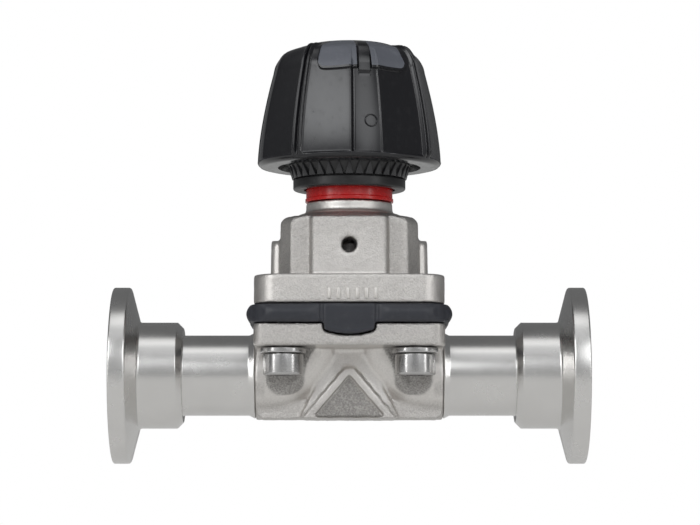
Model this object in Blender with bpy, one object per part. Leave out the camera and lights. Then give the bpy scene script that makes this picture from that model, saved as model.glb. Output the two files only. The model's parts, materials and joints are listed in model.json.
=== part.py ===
"""Manual diaphragm valve with clamp ends, shown open.

Metres, +Z up. The origin is where the pipe axis (X) crosses the stem axis (Z), and the
front, with the diaphragm's tab, faces -Y. Heights are measured from the pipe axis.
"""

import math

import bmesh
import bpy
from mathutils import Matrix, Vector

MM = 0.001
GAP = 0.3 * MM  # clearance left between two pieces that touch or slide
OVERRUN = 2.0 * MM  # how far a cutter runs past the wall that it cuts

# Pipe line
FACE_TO_FACE = 135.0 * MM
BORE = 20.0 * MM
TUBE_WALL = 1.5 * MM
CLAMP_OD = 50.5 * MM
CLAMP_EDGE = 4.8 * MM
CLAMP_SLOPE = math.radians(15.0)
GROOVE_RADIUS = 21.8 * MM
GROOVE_DEPTH = 1.2 * MM
COLLAR_OD = 30.4 * MM
COLLAR_LENGTH = 20.0 * MM
COLLAR_CHAMFER = 1.7 * MM

# Body
BODY_WALL = 2.7 * MM
BODY_SETBACK = 0.15 * MM
FOOT_FLAT = 0.1 * MM  # taken off the lowest line of the body, so that its foot is flat
SCREW_STANDOFF = 8.55 * MM
SCREW_EDGE = 8.25 * MM
FLANGE_OVERLAP = 5.4 * MM  # how far the flange reaches down beside the end tubes
FLANGE_THICKNESS = 6.2 * MM
FLANGE_CORNER = 4.0 * MM
POCKET_MARGIN = 0.9 * MM
END_WALL = 2.8 * MM
END_WALL_INSET = 0.5 * MM
PASSAGE_BEND = 3.8 * MM
LEG_SHARE = 0.8  # how much of the passage has a wall of its own before the flange takes over
WEIR_THICKNESS = 3.0 * MM
PORT_WIDTH = 10.4 * MM
PORT_EXTRA_DEPTH = 3.0 * MM
PORT_WALL = 2.2 * MM
WEB_SETBACK = 2.0 * MM
SOLE_SETBACK = 2.7 * MM
SOLE_HEIGHT = 5.0 * MM
WEB_FOOT_MARGIN = 1.0 * MM
WEB_TOP_WIDTH = 6.0 * MM
RIB_TIP_WIDTH = 2.6 * MM
RIB_WIDTH = 2.9 * MM
RIB_RISE = 0.9 * MM
RIB_APEX = 1.6 * MM
RIB_FOOT = 13.2 * MM
RIB_APEX_DEPTH = 1.8 * MM
RECESS_DEPTH = 0.5 * MM
RECESS_FOOT = 0.4 * MM

# Diaphragm
RIM_THICKNESS = 5.05 * MM
RIM_OVERHANG = 1.4 * MM
RIM_EDGE = 1.1 * MM
SEAT_MARGIN = 1.5 * MM
MEMBRANE_THICKNESS = 2.4 * MM
MEMBRANE_SAG = 1.2 * MM
TAB_WIDTH = 14.0 * MM
TAB_DROP = 3.3 * MM
TAB_ARC = 1.2 * MM
TAB_THICKNESS = 3.0 * MM
TAB_INSET = 0.2 * MM

# Bonnet
BONNET_FLANGE_THICKNESS = 8.2 * MM
BONNET_CORNER = 8.0 * MM
CAST_EDGE = 1.2 * MM
MEMBRANE_RECESS = 1.5 * MM
TOWER_HEIGHT = 17.4 * MM
TOWER_HALF_WIDTH = 19.75 * MM
TOWER_CORNER = 3.2 * MM
TOWER_DRAFT = 0.99
TOWER_CAP_RISE = 1.5 * MM
TOWER_CAP_INSET = 1.6 * MM
TOWER_CAP_START = 0.8 * MM
NECK_FILLET = 1.2 * MM
PAD_HALF_WIDTH = 11.0 * MM
PAD_PROUD = 0.4 * MM
LUG_PROUD = 2.75 * MM
LUG_HALF_WIDTH = 9.0 * MM
LUG_HEIGHT = 10.9 * MM
VENT_DIAMETER = 4.4 * MM
VENT_HEIGHT = 8.7 * MM
NECK_RADIUS = 12.45 * MM
NECK_HEIGHT = 3.3 * MM

# Screws under the body flange (M6) and their washers
SCREW_DIAMETER = 6.0 * MM
SCREW_HEAD_DIAMETER = 11.4 * MM
SCREW_HEAD_HEIGHT = 5.9 * MM
SCREW_GRIP = 6.0 * MM
SOCKET_ACROSS = 5.0 * MM
SOCKET_DEPTH = 3.0 * MM
WASHER_DIAMETER = 12.8 * MM
WASHER_THICKNESS = 1.55 * MM

# Stem
STROKE = 6.2 * MM
SPINDLE_DIAMETER = 10.0 * MM
SPINDLE_SQUARE = 7.0 * MM
SPINDLE_GROOVE_DEPTH = 1.7 * MM
BUSH_WALL = 2.8 * MM
BUSH_COLLAR = 1.5 * MM
SEAL_SECTION = 1.8 * MM
PIN_DIAMETER = 2.4 * MM
PIN_MARGIN = 1.2 * MM
HEAD_MARGIN = 2.5 * MM
HEAD_WIDTH = 15.0 * MM
HEAD_THICKNESS = 6.5 * MM
HEAD_EDGE = 1.5 * MM
SHANK_DIAMETER = 16.0 * MM
SHANK_HEIGHT = 13.0 * MM
STUD_DIAMETER = 5.0 * MM
STUD_BUTTON = 0.9 * MM
STUD_HEIGHT = 4.5 * MM
STUD_WEB = 1.2 * MM
THRUST_WASHER_THICKNESS = 1.0 * MM

# Indicator ring and the rings under the handwheel
INDICATOR_THICKNESS = 2.0 * MM
INDICATOR_HEIGHT = 6.6 * MM
INDICATOR_LIP = 0.25 * MM
INDICATOR_LIP_HEIGHT = 0.9 * MM
INDICATOR_LIP_SLOPE = 0.3 * MM
STOP_CLEARANCE = 0.9 * MM
STOP_RING_WALL = 3.05 * MM
STOP_RING_HEIGHT = 2.9 * MM
STOP_RING_PLAY = 0.7 * MM
SLEEVE_STEP = 1.2 * MM
SLEEVE_HEIGHT = 5.0 * MM
CROWN_HEIGHT = 3.7 * MM
CROWN_BAND = 1.6 * MM
CROWN_FLARE = 3.8 * MM
CROWN_BAND_STEP = 0.5 * MM
CROWN_PLUG = 3.5 * MM
CROWN_TOOTH_DEPTH = 1.1 * MM
CROWN_TEETH = 36

# Handwheel
WHEEL_DIAMETER = 53.2 * MM
WHEEL_HEIGHT = 34.8 * MM
WHEEL_FLANK_DROP = 3.9 * MM
WHEEL_FLANK_POWER = 1.6
WHEEL_SHOULDER = 8.0 * MM
WHEEL_EDGE = 1.6 * MM
WHEEL_GRIP_DIP = 0.9 * MM
GRIP_INNER = math.radians(10)
GRIP_OUTER = math.radians(42)
WHEEL_LOBES = 4
WHEEL_PHASE = math.radians(-79.0)
WHEEL_ROOF = 9.0 * MM
WHEEL_WALL = 4.9 * MM
HUB_WALL = 2.6 * MM
SPOKE_THICKNESS = 2.2 * MM
SPOKE_HEIGHT = 12.0 * MM
INSERT_WALL = 2.6 * MM
INSERT_LENGTH = 15.0 * MM
HUB_FLOOR = 1.8 * MM
HUB_SCREW_DIAMETER = 5.0 * MM
HUB_SCREW_HEAD = 8.5 * MM
HUB_SCREW_HEAD_HEIGHT = 3.0 * MM
HUB_SCREW_GRIP = 10.0 * MM
HUB_WASHER_DIAMETER = 10.0 * MM
HUB_WASHER_THICKNESS = 1.0 * MM
CAP_DIAMETER = 23.0 * MM
CAP_THICKNESS = 2.0 * MM

# Facets round a full turn
FINE = 40
COARSE = 20
WHEEL_FACETS = 48

# Sizes worked out from the ones above
bore_radius = BORE / 2
tube_radius = bore_radius + TUBE_WALL
body_radius = bore_radius + BODY_WALL
body_foot = FOOT_FLAT - body_radius
flange_underside = body_radius - FLANGE_OVERLAP
screw_reach = bore_radius + SCREW_STANDOFF
flange_half = screw_reach + SCREW_EDGE
body_half = flange_half - BODY_SETBACK
pocket_radius = WASHER_DIAMETER / 2 + POCKET_MARGIN
port_depth = bore_radius + PORT_EXTRA_DEPTH / 2
port_centre = WEIR_THICKNESS / 2 + PORT_WIDTH / 2
seat_radius = port_depth + SEAT_MARGIN
web_half = body_radius - WEB_SETBACK
rib_half = web_half + RIB_RISE
hole_radius = SCREW_DIAMETER / 2 + GAP

flange_top = flange_underside + FLANGE_THICKNESS
rim_bottom = flange_top + GAP
rim_top = rim_bottom + RIM_THICKNESS
rim_half = flange_half + RIM_OVERHANG
bonnet_bottom = rim_top + GAP
shoulder = bonnet_bottom + BONNET_FLANGE_THICKNESS
tower_top = shoulder + TOWER_HEIGHT
neck_bottom = tower_top + TOWER_CAP_RISE
neck_top = neck_bottom + NECK_HEIGHT
indicator_bottom = neck_top + GAP
indicator_top = indicator_bottom + INDICATOR_HEIGHT
bush_collar_bottom = indicator_top + GAP
bush_top = bush_collar_bottom + BUSH_COLLAR

membrane_top = (rim_bottom + rim_top + MEMBRANE_THICKNESS) / 2
weir_top = membrane_top - MEMBRANE_THICKNESS - STROKE
head_bottom = membrane_top + GAP
head_top = head_bottom + HEAD_THICKNESS
head_half_length = seat_radius - HEAD_MARGIN
shank_top = head_top + SHANK_HEIGHT
stud_top = head_bottom + STUD_HEIGHT
thrust_bottom = stud_top + GAP + STUD_WEB + GAP
spindle_bottom = thrust_bottom + THRUST_WASHER_THICKNESS + GAP

washer_top = flange_underside - GAP
washer_bottom = washer_top - WASHER_THICKNESS
screw_seat = washer_bottom - GAP
screw_tip = bonnet_bottom + SCREW_GRIP

spindle_radius = SPINDLE_DIAMETER / 2
shank_radius = SHANK_DIAMETER / 2
groove_radius = spindle_radius - SPINDLE_GROOVE_DEPTH
pin_offset = groove_radius + GAP + PIN_DIAMETER / 2
pin_height = spindle_bottom + PIN_DIAMETER + PIN_MARGIN
bush_radius = spindle_radius + GAP + BUSH_WALL
bush_bottom = shank_top + MM + GAP
spigot_radius = NECK_RADIUS - INDICATOR_THICKNESS - GAP
stop_bottom = neck_bottom + STROKE + STOP_CLEARANCE
stop_top = stop_bottom + STOP_RING_HEIGHT
stop_inner = NECK_RADIUS + STOP_RING_PLAY
stop_outer = stop_inner + STOP_RING_WALL
sleeve_radius = stop_outer - SLEEVE_STEP
crown_radius = stop_outer + CROWN_FLARE
crown_bottom = stop_top + GAP
crown_top = crown_bottom + CROWN_HEIGHT
wheel_bottom = crown_top + GAP
wheel_top = wheel_bottom + WHEEL_HEIGHT
wheel_roof = wheel_top - WHEEL_ROOF
flank_height = WHEEL_HEIGHT - WHEEL_SHOULDER
cavity_radius = crown_radius + GAP
cavity_roof_radius = WHEEL_DIAMETER / 2 - WHEEL_FLANK_DROP - WHEEL_WALL
insert_radius = SPINDLE_SQUARE / 2 * math.sqrt(2) + GAP + INSERT_WALL
insert_top = wheel_roof
insert_bottom = insert_top - INSERT_LENGTH
hub_radius = insert_radius + GAP + HUB_WALL
hub_floor_top = insert_top + GAP + HUB_FLOOR
hub_screw_radius = HUB_SCREW_DIAMETER / 2
spindle_top = insert_top - GAP
hub_washer_bottom = hub_floor_top + GAP
hub_screw_seat = hub_washer_bottom + HUB_WASHER_THICKNESS + GAP
cap_radius = CAP_DIAMETER / 2
cap_bottom = wheel_top - CAP_THICKNESS

STEEL = ("stainless_satin", (0.55, 0.54, 0.52), 0.42, 1.0)
CAST = ("stainless_cast", (0.58, 0.57, 0.55), 0.55, 1.0)
BRIGHT = ("stainless_bright", (0.70, 0.70, 0.69), 0.28, 1.0)
RUBBER = ("rubber", (0.035, 0.037, 0.045), 0.55, 0.0)
RED = ("red_plastic", (0.45, 0.02, 0.02), 0.35, 0.0)
BLACK = ("black_plastic", (0.018, 0.018, 0.020), 0.25, 0.0)
BRONZE = ("bronze", (0.55, 0.36, 0.16), 0.35, 1.0)


def clear_scene():
    for item in list(bpy.data.objects):
        bpy.data.objects.remove(item)


def material(finish):
    name, colour, roughness, metallic = finish
    found = bpy.data.materials.get(name)
    if found:
        return found
    made = bpy.data.materials.new(name)
    made.use_nodes = True
    shader = made.node_tree.nodes["Principled BSDF"]
    shader.inputs["Base Color"].default_value = (*colour, 1.0)
    shader.inputs["Roughness"].default_value = roughness
    shader.inputs["Metallic"].default_value = metallic
    made.diffuse_color = (*colour, 1.0)
    return made


def to_object(name, bm, finish=None):
    """Make a mesh object from bm. Without a finish it is a hidden helper for a Boolean."""
    bmesh.ops.remove_doubles(bm, verts=bm.verts[:], dist=1e-7)
    bmesh.ops.recalc_face_normals(bm, faces=bm.faces[:])
    mesh = bpy.data.meshes.new(name)
    bm.to_mesh(mesh)
    bm.free()
    made = bpy.data.objects.new(name, mesh)
    bpy.context.scene.collection.objects.link(made)
    mesh.shade_smooth()
    mesh.set_sharp_from_angle(angle=math.radians(30))
    if finish:
        mesh.materials.append(material(finish))
    else:
        made.hide_render = True
        made.display_type = "WIRE"
    return made


def combine(target, operation, helpers):
    """Add one Boolean that takes all the helpers together, kept in a collection of their own."""
    group = bpy.data.collections.new(f"{target.name} {operation.lower()} {len(target.modifiers)}")
    bpy.context.scene.collection.children.link(group)
    for helper in helpers:
        bpy.context.scene.collection.objects.unlink(helper)
        group.objects.link(helper)
    boolean = target.modifiers.new(operation.lower(), "BOOLEAN")
    boolean.operation = operation
    boolean.solver = "EXACT"
    boolean.operand_type = "COLLECTION"
    boolean.collection = group


def join(target, *helpers):
    combine(target, "UNION", helpers)


def cut(target, *helpers):
    combine(target, "DIFFERENCE", helpers)


def turned(profile, steps, centre=(0.0, 0.0), closed=True):
    """Spin (radius, height) points about a vertical line. A closed profile stays off it."""
    bm = bmesh.new()
    points = [bm.verts.new((r, 0.0, z)) for r, z in profile]
    pairs = list(zip(points, points[1:]))
    if closed:
        pairs.append((points[-1], points[0]))
    edges = [bm.edges.new(pair) for pair in pairs]
    bmesh.ops.spin(
        bm,
        geom=points + edges,
        cent=(0, 0, 0),
        axis=(0, 0, 1),
        angle=2 * math.pi,
        steps=steps,
        use_merge=True,
    )
    bmesh.ops.remove_doubles(bm, verts=bm.verts[:], dist=1e-7)
    bmesh.ops.translate(bm, verts=bm.verts[:], vec=(centre[0], centre[1], 0))
    return bm


def rod(radius, low, high, steps, centre=(0.0, 0.0)):
    return turned([(0, low), (radius, low), (radius, high), (0, high)], steps, centre, closed=False)


def ring(inner, outer, low, high, steps, centre=(0.0, 0.0)):
    return turned([(inner, low), (outer, low), (outer, high), (inner, high)], steps, centre)


def lay_along_x(bm, start=0.0, direction=1):
    """Turn a shape made about +Z so that its height runs along X from start."""
    spun = Matrix.Rotation(direction * math.pi / 2, 4, "Y")
    bmesh.ops.transform(bm, matrix=Matrix.Translation((start, 0, 0)) @ spun, verts=bm.verts[:])
    return bm


def prism(outline, low, high, top_scale=1.0):
    """Raise a flat (x, y) outline from low to high, drawn in by top_scale at the top."""
    bm = bmesh.new()
    foot = [bm.verts.new((x, y, low)) for x, y in outline]
    head = [bm.verts.new((x * top_scale, y * top_scale, high)) for x, y in outline]
    bm.faces.new(foot)
    bm.faces.new(head)
    count = len(outline)
    for i in range(count):
        j = (i + 1) % count
        bm.faces.new((foot[i], foot[j], head[j], head[i]))
    return bm


def plate(outline, half_depth):
    """Raise a flat (x, z) outline to both sides of the XZ plane."""
    bm = prism(outline, -half_depth, half_depth)
    bmesh.ops.transform(bm, matrix=Matrix.Rotation(math.pi / 2, 4, "X"), verts=bm.verts[:])
    return bm


def rounded_rectangle(half_x, half_y, radius, steps=4):
    outline = []
    for quarter in range(4):
        sign_x = (1, -1, -1, 1)[quarter]
        sign_y = (1, 1, -1, -1)[quarter]
        for i in range(steps + 1):
            angle = math.pi / 2 * (quarter + i / steps)
            outline.append(
                (
                    sign_x * (half_x - radius) + radius * math.cos(angle),
                    sign_y * (half_y - radius) + radius * math.sin(angle),
                )
            )
    return outline


def edges_at(*heights):
    """Picks the edges that lie flat at one of these heights."""
    return lambda edge: any(all(abs(v.co.z - z) < 1e-6 for v in edge.verts) for z in heights)


def soften(bm, width, picks, segments=2):
    edges = [edge for edge in bm.edges if picks(edge)]
    bmesh.ops.bevel(
        bm, geom=edges, offset=width, segments=segments, affect="EDGES", profile=0.5, clamp_overlap=True
    )


def ferrule(name, side):
    """Tube, collar and clamp flange in one turned piece. Height 0 is the sealing face."""
    clamp_radius = CLAMP_OD / 2
    collar_radius = COLLAR_OD / 2
    slope_end = CLAMP_EDGE + (clamp_radius - collar_radius) * math.tan(CLAMP_SLOPE)
    length = FACE_TO_FACE / 2 - flange_half - GAP
    profile = [
        (bore_radius, 0),
        (GROOVE_RADIUS - GROOVE_DEPTH, 0),
        (GROOVE_RADIUS - GROOVE_DEPTH / 2, GROOVE_DEPTH),
        (GROOVE_RADIUS + GROOVE_DEPTH / 2, GROOVE_DEPTH),
        (GROOVE_RADIUS + GROOVE_DEPTH, 0),
        (clamp_radius, 0),
        (clamp_radius, CLAMP_EDGE),
        (collar_radius, slope_end),
        (collar_radius, COLLAR_LENGTH - COLLAR_CHAMFER),
        (collar_radius - COLLAR_CHAMFER, COLLAR_LENGTH),
        (tube_radius, COLLAR_LENGTH),
        (tube_radius, length),
        (bore_radius, length),
    ]
    bm = turned(profile, FINE)
    lay_along_x(bm, side * FACE_TO_FACE / 2, -side)
    return to_object(name, bm, STEEL)


def passage_loop(bm, side, t, beyond, wall):
    """One section of the passage, t of the way from the body's end to the port."""
    start = Vector((side * body_half, 0.0))
    bend = Vector((side * (port_centre + PASSAGE_BEND), 0.0))
    finish = Vector((side * port_centre, flange_top))
    along = ((bend - start) * (1 - t) + (finish - bend) * t).normalized()
    centre = start * (1 - t) ** 2 + bend * (2 * t * (1 - t)) + finish * t**2 + along * beyond
    across = Vector((along.y, -along.x))
    wall_here = wall + (PORT_WALL - BODY_WALL) * t if wall else 0.0
    half_width = bore_radius + (PORT_WIDTH / 2 - bore_radius) * t * t + wall_here
    half_depth = bore_radius + (port_depth - bore_radius) * t + wall_here
    loop = []
    for k in range(COARSE):
        angle = 2 * math.pi * (k + 0.5) / COARSE
        flat = centre + across * (half_width * math.cos(angle))
        loop.append(bm.verts.new((flat.x, half_depth * math.sin(angle), flat.y)))
    return loop


def skin(bm, rows, ends=True):
    """Faces between rows of points that go round. ends closes the first and last row."""
    pairs = list(zip(rows, rows[1:])) if ends else list(zip(rows, rows[1:] + rows[:1]))
    count = len(rows[0])
    for low, high in pairs:
        for k in range(count):
            j = (k + 1) % count
            bm.faces.new((low[k], low[j], high[j], high[k]))
    if ends:
        bm.faces.new(rows[0])
        bm.faces.new(rows[-1])


def flow_passage(side, steps=7):
    """The hollow that the fluid runs through, from the tube up to the seat."""
    bm = bmesh.new()
    rows = [passage_loop(bm, side, 0.0, -OVERRUN, 0.0)]
    rows += [passage_loop(bm, side, i / steps, 0.0, 0.0) for i in range(steps + 1)]
    rows.append(passage_loop(bm, side, 1.0, OVERRUN, 0.0))
    skin(bm, rows)
    return bm


def leg(side, steps=6):
    """The wall round the passage, which ends inside the flange."""
    bm = bmesh.new()
    skin(bm, [passage_loop(bm, side, LEG_SHARE * i / steps, 0.0, BODY_WALL) for i in range(steps + 1)])
    return bm


def end_wall(side):
    """Upright wall at the body's end, between the leg and the flange."""
    outer = side * (body_half - END_WALL_INSET)
    inner = side * (body_half - END_WALL)
    half = body_radius - END_WALL_INSET
    outline = [(inner, -half), (outer, -half), (outer, half), (inner, half)]
    return prism(outline, MM, flange_underside + OVERRUN)


def body_casting():
    outline = rounded_rectangle(flange_half, flange_half, FLANGE_CORNER, 3)
    body = to_object("body_casting", prism(outline, flange_underside, flange_top), CAST)
    web_foot = RIB_FOOT + WEB_FOOT_MARGIN
    web_tip = WEB_TOP_WIDTH / 2
    low = body_foot + RECESS_FOOT / 2
    web = [(-web_foot, low), (web_foot, low), (web_tip, weir_top), (-web_tip, weir_top)]
    tip = RIB_TIP_WIDTH / 2
    rib = [(-RIB_FOOT, body_foot), (RIB_FOOT, body_foot), (tip, RIB_APEX), (-tip, RIB_APEX)]
    ends = body_half - END_WALL_INSET
    sole_top = body_foot + SOLE_HEIGHT
    sole = [(-ends, body_foot + MM), (MM - ends, body_foot), (ends - MM, body_foot)]
    sole += [(ends, body_foot + MM), (ends, sole_top), (-ends, sole_top)]
    solids = [
        to_object("web", plate(web, web_half)),
        to_object("rib", plate(rib, rib_half)),
        to_object("sole", plate(sole, web_half - SOLE_SETBACK)),
    ]
    for side in (-1, 1):
        solids.append(to_object(f"leg_{side}", leg(side)))
        solids.append(to_object(f"end_wall_{side}", end_wall(side)))
    join(body, *solids)
    cut(body, *body_cutters())


def body_cutters():
    low = body_foot + RECESS_FOOT
    inner_foot = RIB_FOOT - RIB_WIDTH
    hollow = [(-inner_foot, low), (inner_foot, low), (0, RIB_APEX - RIB_APEX_DEPTH)]
    cutters = []
    for side in (-1, 1):
        bm = plate(hollow, RECESS_DEPTH + RIB_RISE)
        bmesh.ops.translate(bm, verts=bm.verts[:], vec=(0, side * rib_half, 0))
        cutters.append(to_object(f"triangle_recess_{side}", bm))
        cutters.append(to_object(f"flow_{side}", flow_passage(side)))
    dish = [(0, weir_top), (seat_radius - (flange_top - weir_top), weir_top), (seat_radius, flange_top)]
    dish += [(seat_radius, flange_top + OVERRUN), (0, flange_top + OVERRUN)]
    cutters.append(to_object("seat_dish", turned(dish, FINE, closed=False)))
    for index, place in enumerate(screw_places()):
        pocket = rod(pocket_radius, -body_radius - OVERRUN, flange_underside, COARSE, place)
        cutters.append(to_object(f"pocket_{index}", pocket))
        hole = rod(hole_radius, flange_underside - OVERRUN, flange_top + OVERRUN, COARSE, place)
        cutters.append(to_object(f"body_hole_{index}", hole))
    tab_space = plate(tab_outline(TAB_WIDTH / 2 + GAP, TAB_DROP + GAP, OVERRUN), TAB_THICKNESS)
    bmesh.ops.translate(tab_space, verts=tab_space.verts[:], vec=(0, -flange_half, 0))
    cutters.append(to_object("tab_recess", tab_space))
    return cutters


def screw_places():
    return [(x * screw_reach, y * screw_reach) for x in (-1, 1) for y in (-1, 1)]


def tab_outline(half_width, drop, rise):
    """Front outline of the tab: straight sides and a shallow arc below."""
    level = rim_bottom - drop + TAB_ARC
    arc = []
    for i in range(7):
        share = i / 3 - 1
        arc.append((half_width * share, level - TAB_ARC * (1 - share * share)))
    return arc + [(half_width, rim_bottom + rise), (-half_width, rim_bottom + rise)]


def diaphragm_rim():
    outline = rounded_rectangle(rim_half, rim_half, BONNET_CORNER, 4)
    bm = prism(outline, rim_bottom, rim_top)
    soften(bm, RIM_EDGE, edges_at(rim_bottom, rim_top))
    rim = to_object("diaphragm_rim", bm, RUBBER)
    tab = plate(tab_outline(TAB_WIDTH / 2, TAB_DROP, RIM_THICKNESS / 2), TAB_THICKNESS / 2)
    tab_place = -rim_half + TAB_THICKNESS / 2 + TAB_INSET
    bmesh.ops.translate(tab, verts=tab.verts[:], vec=(0, tab_place, 0))
    join(rim, to_object("tab", tab))
    opening = rod(seat_radius, rim_bottom - OVERRUN, rim_top + OVERRUN, FINE)
    cutters = [to_object("rim_opening", opening)]
    for index, place in enumerate(screw_places()):
        hole = rod(hole_radius, rim_bottom - OVERRUN, rim_top + OVERRUN, COARSE, place)
        cutters.append(to_object(f"rim_hole_{index}", hole))
    cut(rim, *cutters)


def diaphragm_membrane():
    edge = seat_radius - GAP
    steps = 6
    under = []
    upper = []
    for i in range(steps + 1):
        share = i / steps
        under.append((edge * share, membrane_top - MEMBRANE_THICKNESS + MEMBRANE_SAG * share * share))
        upper.append((edge * share, membrane_top))
    return to_object("diaphragm_membrane", turned(under + upper[::-1], FINE, closed=False), RUBBER)


def diaphragm_stud():
    neck = STUD_DIAMETER / 2
    button = neck + STUD_BUTTON
    edge = 0.4 * MM
    profile = [(0, head_bottom), (neck, head_bottom), (neck, stud_top - 4 * edge)]
    profile += [(button, stud_top - 3 * edge), (button, stud_top - edge)]
    profile += [(button - edge, stud_top), (0, stud_top)]
    return to_object("diaphragm_stud", turned(profile, COARSE, closed=False), BRIGHT)


def tower_plan():
    """Square tower with its corners cut back."""
    side = TOWER_HALF_WIDTH
    quarter = [
        (side, PAD_HALF_WIDTH),
        (side - TOWER_CORNER, side - TOWER_CORNER),
        (PAD_HALF_WIDTH, side - TOWER_CORNER),
    ]
    outline = []
    for turn in range(4):
        x_sign = (1, -1, -1, 1)[turn]
        y_sign = (1, 1, -1, -1)[turn]
        points = quarter if turn % 2 == 0 else quarter[::-1]
        outline += [(x * x_sign, y * y_sign) for x, y in points]
    return outline


def bonnet():
    outline = rounded_rectangle(flange_half, flange_half, BONNET_CORNER, 4)
    flange = prism(outline, bonnet_bottom, shoulder)
    soften(flange, CAST_EDGE, edges_at(shoulder))
    part = to_object("bonnet", flange, CAST)
    tower = prism(tower_plan(), shoulder - OVERRUN, tower_top, TOWER_DRAFT)
    soften(tower, CAST_EDGE, edges_at(tower_top))
    neck_profile = [
        (0, tower_top - OVERRUN),
        (TOWER_HALF_WIDTH - TOWER_CAP_INSET, tower_top - TOWER_CAP_START),
        (NECK_RADIUS + NECK_FILLET, neck_bottom),
        (NECK_RADIUS, neck_bottom + MM),
        (NECK_RADIUS, neck_top),
        (spigot_radius, neck_top),
        (spigot_radius, indicator_top),
        (0, indicator_top),
    ]
    solids = [
        to_object("tower", tower),
        to_object("pad", bonnet_boss(PAD_HALF_WIDTH, TOWER_HALF_WIDTH + PAD_PROUD, tower_top - PAD_PROUD)),
        to_object("lug", bonnet_boss(TOWER_HALF_WIDTH + LUG_PROUD, LUG_HALF_WIDTH, shoulder + LUG_HEIGHT)),
        to_object("neck", turned(neck_profile, FINE, closed=False)),
    ]
    join(part, *solids)
    cut(part, *bonnet_cutters())


def bonnet_boss(half_x, half_y, top):
    """A block through the tower that stands proud on two opposite sides."""
    bm = prism(rounded_rectangle(half_x, half_y, MM, 1), shoulder - 0.7 * OVERRUN, top, TOWER_DRAFT)
    soften(bm, CAST_EDGE, edges_at(top))
    return bm


def bonnet_cutters():
    recess = rod(seat_radius, bonnet_bottom - OVERRUN, bonnet_bottom + MEMBRANE_RECESS, FINE)
    slot = prism(head_outline(GAP), bonnet_bottom - 0.8 * OVERRUN, head_top + GAP)
    guide = rod(shank_radius + GAP, bonnet_bottom, shank_top + MM, COARSE)
    bush_bore = rod(bush_radius + GAP, shank_top - OVERRUN, indicator_top + OVERRUN, COARSE)
    vent = rod(VENT_DIAMETER / 2, shank_radius - OVERRUN, flange_half, COARSE)
    spun = Matrix.Rotation(math.pi / 2, 4, "X")
    raised = Matrix.Translation((0, 0, shoulder + VENT_HEIGHT))
    bmesh.ops.transform(vent, matrix=raised @ spun, verts=vent.verts[:])
    cutters = [
        to_object("membrane_recess", recess),
        to_object("head_slot", slot),
        to_object("guide_bore", guide),
        to_object("bush_bore", bush_bore),
        to_object("vent", vent),
    ]
    for index, place in enumerate(screw_places()):
        hole = rod(hole_radius, bonnet_bottom - OVERRUN, screw_tip + 2 * GAP, COARSE, place)
        cutters.append(to_object(f"bonnet_hole_{index}", hole))
    return cutters


def spindle_bush():
    inner = spindle_radius + GAP
    collar = spigot_radius + INDICATOR_THICKNESS / 2
    pocket = inner + SEAL_SECTION + GAP
    pocket_floor = bush_top - SEAL_SECTION - 2 * GAP
    profile = [
        (inner, bush_bottom),
        (bush_radius, bush_bottom),
        (bush_radius, bush_collar_bottom),
        (collar, bush_collar_bottom),
        (collar, bush_top - 0.3 * MM),
        (collar - 0.3 * MM, bush_top),
        (pocket, bush_top),
        (pocket, pocket_floor),
        (inner, pocket_floor),
    ]
    return to_object("spindle_bush", turned(profile, COARSE), BRONZE)


def stem_o_ring():
    half = SEAL_SECTION / 2
    middle = spindle_radius + GAP + half
    level = bush_top - half - GAP
    profile = []
    for i in range(6):
        angle = 2 * math.pi * i / 6
        profile.append((middle + half * math.cos(angle), level + half * math.sin(angle)))
    return to_object("stem_o_ring", turned(profile, COARSE), RUBBER)


def indicator_ring():
    inner = spigot_radius + GAP
    outer = inner + INDICATOR_THICKNESS
    profile = [
        (inner, indicator_bottom),
        (outer + INDICATOR_LIP, indicator_bottom),
        (outer + INDICATOR_LIP, indicator_bottom + INDICATOR_LIP_HEIGHT),
        (outer, indicator_bottom + INDICATOR_LIP_HEIGHT + INDICATOR_LIP_SLOPE),
        (outer, indicator_top),
        (inner, indicator_top),
    ]
    return to_object("indicator_ring", turned(profile, FINE), RED)


def bonnet_screws():
    radius = SCREW_HEAD_DIAMETER / 2
    shank = SCREW_DIAMETER / 2
    low = screw_seat - SCREW_HEAD_HEIGHT
    edge = 0.7 * MM
    profile = [(0, low), (radius - edge, low), (radius, low + edge), (radius, screw_seat)]
    profile += [(shank, screw_seat), (shank, screw_tip - edge), (shank - edge, screw_tip), (0, screw_tip)]
    for index, place in enumerate(screw_places()):
        screw = to_object(f"bonnet_screw_{index + 1}", turned(profile, COARSE, place, False), BRIGHT)
        corner = SOCKET_ACROSS / math.sqrt(3)
        socket = rod(corner, low - OVERRUN, low + SOCKET_DEPTH, 6, place)
        cut(screw, to_object(f"socket_{index + 1}", socket))


def bonnet_washers():
    for index, place in enumerate(screw_places()):
        bm = ring(hole_radius, WASHER_DIAMETER / 2, washer_bottom, washer_top, COARSE, place)
        to_object(f"bonnet_washer_{index + 1}", bm, BRIGHT)


def head_outline(extra):
    """Outline of the compressor's head, with its long way in line with the weir."""
    half_x = HEAD_WIDTH / 2 + extra
    return rounded_rectangle(half_x, head_half_length + extra, half_x * 0.8, 4)


def lay_pin(bm):
    """Lay a shape made about +Z across the compressor, beside the spindle's groove."""
    turn = Matrix.Rotation(math.pi / 2, 4, "X")
    place = Matrix.Translation((pin_offset, 0, pin_height))
    bmesh.ops.transform(bm, matrix=place @ turn, verts=bm.verts[:])
    return bm


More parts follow.
